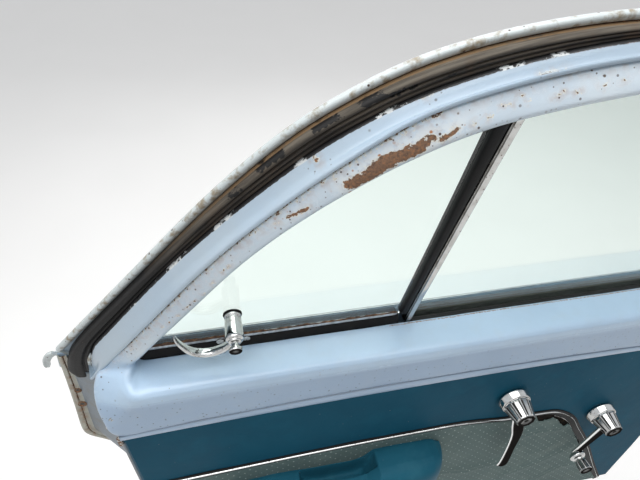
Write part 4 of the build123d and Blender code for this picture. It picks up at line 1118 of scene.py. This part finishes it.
# Vinyl panel: gently waved, and bare below the bright strip, where the insert lies
panel_x = np.linspace(-1072, 0, 240)
panel = panel_grid(np.stack((panel_x, hem_z(panel_x) + 3), -1), trim_foot(240, .12), 130, 5)
px, pz = panel[..., 0], panel[..., 2]
panel[..., 1] += .35 * np.sin(px / 47 + pz / 90) + .25 * np.sin(px / 19 - pz / 33 + 1) - .2
bare = held((below_strip(px) - 5 - pz) / 3)
panel[..., 1] = np.maximum(panel[..., 1] + .8 * bare, -.2)
piece("trim_panel_vinyl", TEAL, grid(panel, behind=OUTSIDE, bare=bare), replaces="trim_panel", thick=3.0)

# Insert: its front edge has torn away from the strip, and its vinyl is creased there
TORN = ((-345, -272), (-333, -294), (-322, -296), (-312, -295), (-303, -291), (-291, -298),
        (-276, -318), (-263, -334), (-253, -331), (-243, -337), (-226, -367), (-195, -416),
        (-168, -462), (-148, -490), (-120, -536), (-84, -596), (-44, -664))
CREASES = (((-330, -512), (-282, -494), (-240, -470), (-196, -432)),
           ((-358, -341), (-316, -332), (-267, -341)), ((-251, -587), (-190, -535), (-106, -544)),
           ((-520, -430), (-450, -452), (-360, -440)), ((-420, -300), (-395, -318), (-372, -352)))
torn = np.array(TORN, float)
insert_x = np.concatenate((np.linspace(-1071, -345, 170), np.linspace(-345, -44, 140)[1:]))
insert_top = np.where(insert_x < -345, below_strip(insert_x) - 8.6,
                      np.interp(insert_x, torn[:, 0], torn[:, 1]))
ragged = 1.1 * np.sin(insert_x / 2.7) + .8 * np.sin(insert_x / 1.3 + 2)
insert_top = insert_top + (insert_x > -330) * ragged
foot = trim_foot(309, .14)
foot[:, 0] = np.minimum(foot[:, 0], -38)
foot[:, 1] += 2
insert = panel_grid(np.stack((insert_x, insert_top), -1), foot, 120, 2, roll=3.0)
insert[..., 1] -= 2.0
xz = insert[..., (0, 2)]
for line in CREASES:
    far = to_line(xz, line)
    insert[..., 1] += 1.9 * np.exp(-(far / 3.2) ** 2) - 2.4 * np.exp(-(far / 13.0) ** 2)
insert[..., 1] -= 1.4 * np.exp(-to_line(xz, torn[1:]) / 9) * (xz[..., 0] > -335)
ix, iz = xz[..., 0], xz[..., 1]
insert[..., 1] -= .35 * np.sin(ix / 31 + iz / 57) + .3 * np.sin(ix / 14 - iz / 21)
piece("trim_insert_vinyl", PALE, grid(insert, behind=OUTSIDE), replaces="trim_insert", thick=.9)


def ribbon(line, section):
    """A section carried along a line of (X, Z): across is the line's own normal, and y is the section's.
    The section may have its own shape at every point of the line."""
    line = np.asarray(line, float)
    normal = left_of(headings(line))
    section = np.broadcast_to(np.asarray(section, float), (len(line), *np.shape(section)[-2:]))
    flat = line[:, None] + section[..., :1] * normal[:, None]
    return np.stack((flat[..., 0], section[..., 1], flat[..., 1]), -1)


# Strip: a chromed bead with a black band below it, wider round the bend, and a thin bright inner line. The
# black band stands for the moulding's black piping and is also painted shade in its recess.
BEAD = ((-.4, 0), (-.4, -2.2), (-.7, -3.4), (-1.6, -4.3), (-2.5, -3.5), (-2.8, -2.3), (-2.8, 0))
wide = 6.0 + 4.0 * held((strip_line[:, 0] + 330) / 60)
# The band's section as rise over the line, share of the band's width, y
PIPING_AND_SHADE = ((4.4, 0, .4), (4.4, 0, -1.3), (3.6, 0, -2.2), (0, 0, -2.4), (-3.4, 0, -2.4), (-3.4, .5, -2.6),
        (-3.4, .9, -2.3), (-3.4, 1, -1.3), (-3.4, 1, .4))
piping_and_shade = np.stack([np.stack((rise - s * wide, np.full(len(wide), y)), -1) for rise, s, y in PIPING_AND_SHADE], 1)
piece("strip_bead", OLD_CHROME, closed(ribbon(strip_line, BEAD)), replaces="trim_strip", sharp=50)
piece("strip_piping_and_shade", RUBBER, closed(ribbon(strip_line, piping_and_shade)))
dive = strip_line[strip_line[:, 0] > -300]
INNER_LINE = ((-13.2, .4), (-13.2, -2.0), (-13.8, -2.7), (-14.5, -2.0), (-14.5, .4))
piece("strip_inner_line", OLD_CHROME, closed(ribbon(dive, INNER_LINE)))


def build_armrest():
    """Padded rest: in each row along the door the profile rises from the wall over the top, round the
    front and back under to the wall. Its depth closes at both ends as a superellipse. The scoop sinks
    the top by the product of two flat bells, 1 - |s|^7 along the door and 1 - |s|^5 across it."""
    x = np.concatenate((np.linspace(-960, -820, 50), np.linspace(-819, -670, 100),
                        np.linspace(-668, -546, 60)))
    top = np.interp(x, (-960, -938, -900, -861, -814, -759, -714, -696, -684, -676, -621, -575, -560, -546),
                    (-318, -304, -299, -296, -298, -301, -302, -296, -284, -275.5, -274, -275, -280, -292))
    foot = np.interp(x, (-960, -945, -920, -590, -560, -546), (-396, -410, -414, -414, -409, -398))
    s = held(np.abs((x + 753) / 208))
    deep = 66 * (1 - s ** 9) ** (1 / 2.4)
    # (share of the depth, share of the height from the top) round the profile
    ring = np.array(((0, 0), (.03, -.005), (.10, -.02), (.25, -.03), (.40, -.03), (.50, -.03),
                     (.60, -.028), (.75, -.012), (.88, .03), (.96, .09), (1.0, .18), (1.0, .35),
                     (.985, .6), (.95, .8), (.86, .93), (.7, .985), (.4, 1.0), (0, 1.0)))
    ring = smooth_rows(ring, np.linspace(0, len(ring) - 1, 90))
    y = -1.5 - deep[:, None] * ring[:, 0]
    z = top[:, None] + (foot - top)[:, None] * ring[:, 1]
    along_x = held(1 - np.abs((x + 745) / 69) ** 7)[:, None]
    over_y = held(1 - np.abs((y + 19) / 14.5) ** 5)
    upper = (ring[:, 1] < .3)[None]
    scoop = 34 * along_x ** .6 * over_y ** .6 * upper
    return np.stack((np.broadcast_to(x[:, None], y.shape), y, z - scoop), -1)


rest = piece("armrest_pad", LIT_REST_VINYL, closed(build_armrest()), replaces="armrest", sharp=80)


def turn_round(place, profile, radii, turns, glass_y=None, wave=None):
    """A turned part on a spindle out of the trim, or out of the leaning glass that meets the sill at
    glass_y. Profile points are (radius, reach inboard), cut round by radii. A wave gives the radius
    another factor by angle, for flats and flutes."""
    profile = rounded(profile, radii, 4)
    angle = round_angles(turns)[None]
    factor = wave(angle, profile[:, 1:]) if wave else 1.0
    r = profile[:, :1] * factor * np.ones_like(angle)
    if glass_y is None:
        base, up, out = np.array((place[0], 0, place[1])), UP, INBOARD
    else:
        base, up, out = lean(*place, glass_y), GLASS_UP, GLASS_OUT
    return (base + (r * np.cos(angle))[..., None] * ALONG + (r * np.sin(angle))[..., None] * up
            + profile[:, 1][:, None, None] * out)


# How far a fluted cone is cut towards its flats, and its corners' height as a share of the radius
FLAT_DEPTH, RIDGE = .9, .03


def flats(count, low, high):
    """Factor of a turned part's radius that makes flats between two reaches: cos(pi/n) / cos(angle
    within a flat), blended by depth, with a thin raised line at each corner."""
    def factor(angle, reach):
        inside = (angle + pi / count) % (2 * pi / count) - pi / count
        flat = cos(pi / count) / np.cos(inside)
        corner = np.exp(-((np.abs(inside) - pi / count + .05) / .035) ** 2)
        cut = 1 + FLAT_DEPTH * (flat / flat.max() - 1) + RIDGE * corner
        return np.where((reach > low) & (reach < high), cut, 1.0)
    return factor


def painted_flute_light(points, count, low, high):
    """Painted light of a fluted cone between two reaches: painted shade beside each of its corners and on its
    end, and a painted highlight on the corner's thin raised line."""
    angle = round_angles(points.shape[1])[None]
    inside = ((angle + pi / count) % (2 * pi / count) - pi / count) / (pi / count)
    reach = -points[:, :1, 1]
    on = held((reach - low) / 2) * held((high - reach) / 1.5)
    side = held((np.abs(inside + .12) - .42) / .16)
    line = held((np.abs(inside) - .86) / .06)
    end = held((reach - high) / 1.5)
    return {"dark": held(on * side + end), "edge": on * line}


# Round plates and fluted cones of the crank and the release lever, as (radius, reach inboard)
COLLAR = ((25.2, 0), (25.3, .8), (25.8, 2.0), (26.6, 2.8), (28.4, 3.6), (29.4, 5.2), (29.0, 7.0),
          (26.4, 15.4), (25.6, 16.8), (24.8, 17.0), (23.6, 16.6), (22.4, 16.2))
BOSS = ((22.4, 15.0), (23.8, 18.0), (23.4, 20.6), (17.0, 46.6), (15.2, 50.0), (12.0, 50.6),
        (11.0, 49.4), (10.2, 47.8), (5.0, 47.6), (4.0, 48.4), (.4, 48.8))
COLLAR_RADII = (0, .4, 1, 1, .5, .6, .8, 1.2, 1.2, 1.0, .5, 0)
BOSS_RADII = (0, 1.2, 1.2, 1.6, 1, .6, .5, .5, .5, .4, 0)
for name, centre in (("crank", CRANK), ("release", RELEASE)):
    collar = turn_round(centre, COLLAR, COLLAR_RADII, 96)
    piece(f"{name}_collar", CHROME, closed(collar), replaces=f"{name}_escutcheon", sharp=50)

# The arms' section power, points round it and rows along them
BAR_POWER, BAR_TURNS, BAR_ROWS = 2.2, 28, 60


def bar(centre, half_wide, half_thick):
    """Arm of superellipse section |a|^n + |b|^n = 1 along a line of (x, y, z), with round ends: near an
    end the width follows the circle sqrt(1 - (1 - d / r)^2)."""
    line = curve_through(centre, BAR_ROWS)
    k = np.linspace(0, len(half_wide) - 1, BAR_ROWS)
    w = smooth_rows(half_wide, k)
    h = smooth_rows(half_thick, k)
    run = np.concatenate(([0], np.cumsum(np.linalg.norm(np.diff(line, axis=0), axis=1))))
    near = np.minimum(run, run[-1] - run)
    w = w * np.sqrt(np.clip(1 - (1 - held(near / w)) ** 2, .02, 1))
    h = h * np.sqrt(np.clip(1 - (1 - held(near / h)) ** 2, .05, 1))
    way = headings(line)
    thin = np.broadcast_to(INBOARD, way.shape)
    side = np.cross(way, thin)
    side /= np.linalg.norm(side, axis=1, keepdims=True)
    thin = np.cross(side, way)
    angle = round_angles(BAR_TURNS)
    a, b = np.cos(angle), np.sin(angle)
    a, b = np.sign(a) * np.abs(a) ** (2 / BAR_POWER), np.sign(b) * np.abs(b) ** (2 / BAR_POWER)
    points = (line[:, None] + (w[:, None] * a)[..., None] * side[:, None]
              + (h[:, None] * b)[..., None] * thin[:, None])
    # Painted light: the arm's flat faces get a painted dark reflection and its rounded rims a painted
    # highlight.
    rim = held((np.abs(a) - .80) / .10)[None]
    return closed(points, dark=1 - rim, edge=rim)


knuckle = flats(9, 17, 51)
crank_arm = bar(((-197, -31, -299), (-206, -32, -323), (-219, -33, -358), (-233, -34, -393),
                 (-236, -34, -401)), (13.5, 12.5, 10.5, 9, 8.4), (5.6, 5.4, 4.8, 4.6, 4.2))
lever = bar(((-426, -30, -184), (-419, -31.5, -222), (-411.5, -33, -256), (-409.5, -34.5, -304),
             (-408, -35.5, -352), (-409, -35, -372), (-413, -31.5, -380)),
            (13.5, 12.6, 11.2, 9.2, 10.2, 11.2, 10.8), (5.6, 5.2, 4.6, 4.2, 4.0, 3.6, 2.8))
for name, centre, arm, node_name in (("crank_handle", CRANK, crank_arm, "crank_arm"),
                                     ("release_handle", RELEASE, lever, "release_lever")):
    cone = turn_round(centre, BOSS, BOSS_RADII, 144, wave=knuckle)
    piece(name, HANDLE_CHROME, closed(cone, **painted_flute_light(cone, 9, 19, 47)), arm, replaces=node_name, sharp=30)

# Crank's knob: a round foot, a neck and a fluted grip
KNOB_TURN = ((8, 34), (14.4, 38.4), (16.2, 40.6), (16.2, 44.0), (14.0, 46.4), (9.2, 48), (8.6, 50.5),
             (10.6, 52.2), (12.2, 58), (12.6, 70.4), (12.0, 73.4), (10.0, 74.0), (9.0, 72.6),
             (.4, 71.8))
KNOB_RADII = (0, 1, 1, 1, .8, .8, .6, .8, 2, 1.2, .6, .4, .4, 0)
knob = turn_round(KNOB, KNOB_TURN, KNOB_RADII, 120, wave=flats(8, 53, 72))
piece("crank_grip", HANDLE_CHROME, closed(knob, **painted_flute_light(knob, 8, 53, 71)), replaces="crank_knob", sharp=40)

# Quarter light catch: gasket, ringed boss, necked button, and the hooked arm
CATCH_PLACE = (CATCH[0], CATCH[1] / cos(TILT))
GASKET = ((9, 0), (12.6, .2), (12.8, 1.6), (12.2, 3), (10, 3.2))
RIBS = ((11.2, 2.6), (11.4, 4.8), (11.0, 5.4), (10.4, 5.8), (11.1, 6.4), (10.4, 7.2), (11.1, 7.9),
        (10.5, 8.6), (11.2, 9.6), (11.0, 10.4), (12.6, 36), (11.6, 39.4), (9.0, 40.6), (8.8, 42.4),
        (7.6, 43.4), (4.8, 43.8), (4.6, 49.6), (7.0, 50.2), (8.6, 51), (8.8, 54.6), (7.8, 56.4),
        (5.4, 55.8), (.3, 55.4))
piece("catch_gasket", RUBBER, closed(turn_round(CATCH_PLACE, GASKET, [0] * len(GASKET), 48, QUARTER_Y)))
rib_radii = [0, .5] + [.3] * 7 + [1, 2, 1.2, .6, .6, .6, .8, 1, .6, .8, 1, 1.2, .8, 0]
# Painted dark reflection on the button's end.
button = held(spread([point[1] for point in RIBS], rib_radii, 4) - 54.8)[:, None]
piece("catch_body", OLD_CHROME, closed(turn_round(CATCH_PLACE, RIBS, rib_radii, 64, QUARTER_Y), dark=button),
      replaces="catch_boss", sharp=45)


def build_hook():
    """The catch's arm: a blade whose depth lies along the boss's axis, following a hooked line, thickest
    at the bottom of the bend."""
    line = even_line(((-899, 61), (-912, 49), (-928, 42.5), (-944, 46.5), (-955, 57.5), (-962.5, 75),
                      (-966, 88), (-966.8, 97)), 1.6)
    s = np.linspace(0, 1, len(line))
    half = np.interp(s, (0, .15, .35, .5, .75, 1), (4.6, 4.8, 5.2, 4.0, 2.4, 1.4))
    deep = np.interp(s, (0, .3, .6, .9, 1), (6.0, 6.5, 6.0, 4.5, 3.2))
    normal = left_of(headings(line))
    turn = round_angles(26)
    a, b = np.cos(turn), np.sin(turn)
    a, b = np.sign(a) * np.abs(a) ** .75, np.sign(b) * np.abs(b) ** .7
    flat = line[:, None] + (half[:, None] * a)[..., None] * normal[:, None]
    reach = 33 + deep[:, None] * b
    # Painted shade on the blade's under side.
    under = held((a - .30) / .3)[None]
    blade = lean(flat[..., 0], flat[..., 1] / cos(TILT), QUARTER_Y) + reach[..., None] * GLASS_OUT
    return closed(blade, dark=under)


piece("catch_arm", OLD_CHROME, build_hook(), replaces="catch_lever", sharp=50)


def slotted(r, turn):
    """Domed head with one slot."""
    across = np.abs(r * np.sin(turn))
    return 2.2 - r ** 2 * .03 - .9 * held((.95 - across) / .35)


def crossed(r, turn):
    """Domed head with a cross in it, over a raised washer."""
    a, b = np.abs(r * np.sin(turn + .5)), np.abs(r * np.cos(turn + .5))
    cross = held((1.0 - np.minimum(a, b)) / .4) * held((3.6 - np.maximum(a, b)) / .6)
    head = np.where(r < 5.4, 2.6 - r ** 2 * .035, np.clip(1.2 - (r - 5.4) * .15, 0, 2))
    return head - 1.1 * cross


# Painted shade: a dark ring round each screw head's rim, and on the cap screw's step between head and washer.
for k, (x, z) in enumerate(((-917, 12), (-879, 10))):
    head = dish((x, 60.5, z), slotted, 5.6, .4 + k, dark=lambda q: held((q - .88) / .08))
    piece(f"sill_screw_{k + 1}", SCREW, head, thick=1.5)
cap_head = dish((-1070, 5.4, -57), crossed, 8.2, rings=30, turns=96,
                dark=lambda q: np.exp(-((q - .66) / .07) ** 2) + held((q - .93) / .05))
piece("cap_screw", SCREW, cap_head, thick=1.0)

# Quarter light's sill: rubber with a bright channel on it and rusty sealant along the glass
SILL = ((56, -14), (55.6, -3), (56.4, 2), (58.5, 6.5), (60.6, 10.4), (63, 13.2), (72, 13.4), (84, 11),
        (88, 5), (88, -14))
sill_x = np.linspace(-1036, -646, 80)
sill = lengthwise(sill_x, rounded(SILL, (0, 1, 2, 1, 1, 1, 1, 2, 2, 0)))
piece("quarter_sill", RUBBER, closed(sill), replaces="quarter_sill_rubber")
CHAN = ((65.2, 13), (61.2, 13), (60.2, 14.4), (60.2, 18.6), (61.4, 21), (63.6, 21.8), (64.9, 20.6))
chan_x = np.concatenate((np.linspace(-1019, -656, 90), (-652, -649.5, -648)))
chan = lengthwise(chan_x, rounded(CHAN, (0, 1, 1, 1.5, 1.5, 1, 0)))
# The channel's front end narrows and sinks to its seat
shrink = np.interp(chan_x, (-656, -652, -649.5, -648), (1, .9, .68, .35))[:, None]
chan[..., 2] = 13 + (chan[..., 2] - 13) * shrink
chan[..., 1] = QUARTER_Y + (chan[..., 1] - QUARTER_Y) * np.maximum(shrink, .6)
WORN_X, WORN = (-1019, -970, -925, -895, -865, -800, -648), (.35, .15, .6, .9, .5, .1, .2)
worn = np.interp(chan_x, WORN_X, WORN)[:, None]
piece("quarter_channel_bead", CHANNEL, closed(chan, worn=worn), replaces="quarter_channel", sharp=60)
band_x = np.linspace(-1018, -650, 300)
height = (3.6 + 2.6 * np.exp(-((band_x + 985) / 60) ** 2) + 2.0 * np.exp(-((band_x + 895) / 40) ** 2)
          + .9 * np.sin(band_x / 5.3) + .7 * np.sin(band_x / 2.1 + 1) + .5 * np.sin(band_x / 13))[:, None]
BAND_RISE, BAND_DEPTH = np.array((0, .5, .85, 1, 1.0)), np.array((.9, .8, .5, .2, -.2))
seat = lean(band_x[:, None] + 0 * height, 20.0 + height * BAND_RISE, 64.7 - BAND_DEPTH)
piece("glass_sealant", SEALANT, grid(seat, behind=OUTSIDE), thick=.4)

# Division bar: black rubber behind, wider upwards, a thin bright ridge, a furrow and the flat bright
# face, as places across the bar and y. The bar stands on the sill and leans forward as it rises
BAR_FOOT, BAR_LEAN = -636, 28 / 380
bar_top = np.interp(-608, opening[:, 0], opening[:, 1]) + 7
BAR = ((0, 77), (0, 61), (.6, 58.6), (1.5, 61.6), (3, 62), (3.4, 58.4), (4.2, 57.4), (9.6, 56.8),
       (10.6, 57.6), (11, 60), (11, 77))
BAR_RUBBER = ((-11, 77), (-11, 61.5), (-10, 59.4), (-6, 58.6), (-1.4, 59.6), (-.2, 61), (-.2, 77))


def up_the_bar(foot, section, widening=0.0):
    """A section carried up the bar from a height on the glass to the frame. Its part behind -6 grows
    wider with the square of the height."""
    v = np.linspace(foot, bar_top, 60)[:, None]
    side = section[:, 0]
    across = np.where(side < -6, side * (1 + widening * (v / bar_top) ** 2), side)
    return closed(lean(BAR_FOOT + BAR_LEAN * v + across, v, section[:, 1]))


bright = up_the_bar(0, rounded(BAR, (0, .3, .5, .4, .4, .4, .6, .6, .6, .6, 0), 4))
piece("division_face", OLD_CHROME, bright, replaces="division_bar", sharp=40)
black_edge = up_the_bar(21, rounded(BAR_RUBBER, (0, 1, 1.2, 1.5, 1, .6, 0), 4), .45)
piece("division_rubber_strip", RUBBER, black_edge, replaces="division_rubber")

# Wiper of the window slot: a ribbed grey rubber strip on the rail's lip
WIPE = ((55.4, -15), (55.3, -3), (55.8, .8), (57, 2.2), (58.2, 1.2), (58.8, -.4), (59.8, .8),
        (60.8, 1.6), (61.8, .6), (62.6, -1), (64.4, -.2), (64.6, -3), (63.6, -15))
wipe_x = np.linspace(-624, -40, 120)
wiper = lengthwise(wipe_x, rounded(WIPE, [0] + [.5] * 11 + [0], 3))
piece("slot_wiper", WIPER, closed(wiper), replaces="inner_felt")

# Finishes of the CAD nodes that stay
LOOKS = {"body_paint": DOOR_PAINT, "outer_paint": SKIN_PAINT, "upper_vinyl": TEAL, "insert_vinyl": PALE,
         "bright_trim": CHROME, "seal_rubber": RUBBER, "glass": GLASS, "felt": FELT, "hinge_steel": HINGE,
         "lock_steel": LOCK}
for sub in frame["record"]["subparts"]:
    part = frame["nodes"][sub["node"]]
    part.data.materials.clear()
    part.data.materials.append(LOOKS[sub["material_slot"]])


# The photograph's camera: its place from the datum in metres, the lens and the film's width in mm,
# and in degrees its turn about the vertical, how far it looks down, and its tip to one side
CAMERA_PLACE, LENS, FILM = (-0.8768, -0.385, 0.5523), 26.16, 36.0
CAMERA_TURN, CAMERA_DOWN, CAMERA_TIP = -12.96, 39.16, 1.98

# Soft lamps as name, power, size, place and the point they face, in metres
LAMPS = (("overhead", 72, 2.6, (-0.9, -0.1, 2.4), (-0.6, 0, 0)),
         ("cabin_side", 7, 2.0, (-1.4, -2.2, 1.2), (-0.6, 0, 0)),
         ("outside", 12, 2.0, (-0.2, 2.4, 1.4), (-0.6, 0, -0.2)))
FLOOR_HALF = 12.0
# The floor's glow, and the sky's strength as a light and as what is seen in it
FLOOR_GLOW, SKY_LIGHT, SKY_SEEN = .34, .30, .92


def photo_camera():
    """Camera at the photograph's height and angle, looking down and out from the cabin."""
    data = bpy.data.cameras.new("photo_camera")
    data.sensor_width, data.sensor_fit, data.lens = FILM, "HORIZONTAL", LENS
    cam = bpy.data.objects.new("photo_camera", data)
    bpy.context.scene.collection.objects.link(cam)
    turn = (Matrix.Rotation(radians(CAMERA_TURN), 4, "Z")
            @ Matrix.Rotation(radians(90 - CAMERA_DOWN), 4, "X")
            @ Matrix.Rotation(radians(CAMERA_TIP), 4, "Z"))
    cam.matrix_world = Matrix.Translation(Vector(DATUM + np.array(CAMERA_PLACE))) @ turn
    bpy.context.scene.camera = cam


def seen_directly(tree):
    """1 for what the camera, metal and glass see, and 0 for light on dull things."""
    path = tree.nodes.new("ShaderNodeLightPath").outputs
    return arith(tree, "MAXIMUM", arith(tree, "MAXIMUM", path["Is Camera Ray"], path["Is Glossy Ray"]),
                 path["Is Transmission Ray"])


def studio():
    """Pale floor, soft lamps from above, and a white surround that the camera, metal and glass see."""
    mesh = bpy.data.meshes.new("floor")
    corners = [(x * FLOOR_HALF, y * FLOOR_HALF, FLOOR_Z) for x, y in ((-1, -1), (1, -1), (1, 1), (-1, 1))]
    mesh.from_pydata(corners, [], [(0, 1, 2, 3)])
    floor = bpy.data.objects.new("floor", mesh)
    bpy.context.scene.collection.objects.link(floor)
    pale = Finish("studio_floor", (0.80, 0.79, 0.77, 1), .85)
    pale.coat(pale.clouds(2.0, .4, .7), (0.77, 0.76, 0.74, 1))
    mesh.materials.append(pale.done())
    glow = arith(pale.tree, "MULTIPLY", seen_directly(pale.tree), FLOOR_GLOW)
    pale.tree.links.new(glow, pale.shader.inputs["Emission Strength"])
    pale.shader.inputs["Emission Color"].default_value = (1, 1, 1, 1)
    world = bpy.data.worlds.new("studio")
    bpy.context.scene.world = world
    world.use_nodes = True
    tree = world.node_tree
    sky = tree.nodes["Background"].inputs
    tree.links.new(fit(tree, seen_directly(tree), 0, 1, SKY_LIGHT, SKY_SEEN), sky[1])
    sky[0].default_value = (0.93, 0.96, 1.0, 1)
    for name, power, size, place, aim in LAMPS:
        light = bpy.data.lights.new(name, "AREA")
        light.energy, light.size = power, size
        lamp = bpy.data.objects.new(name, light)
        bpy.context.scene.collection.objects.link(lamp)
        facing = (Vector(aim) - Vector(place)).to_track_quat("-Z", "Y").to_matrix().to_4x4()
        lamp.matrix_world = Matrix.Translation(Vector(place)) @ facing


photo_camera()
studio()
bpy.context.scene.view_settings.view_transform = "Standard"
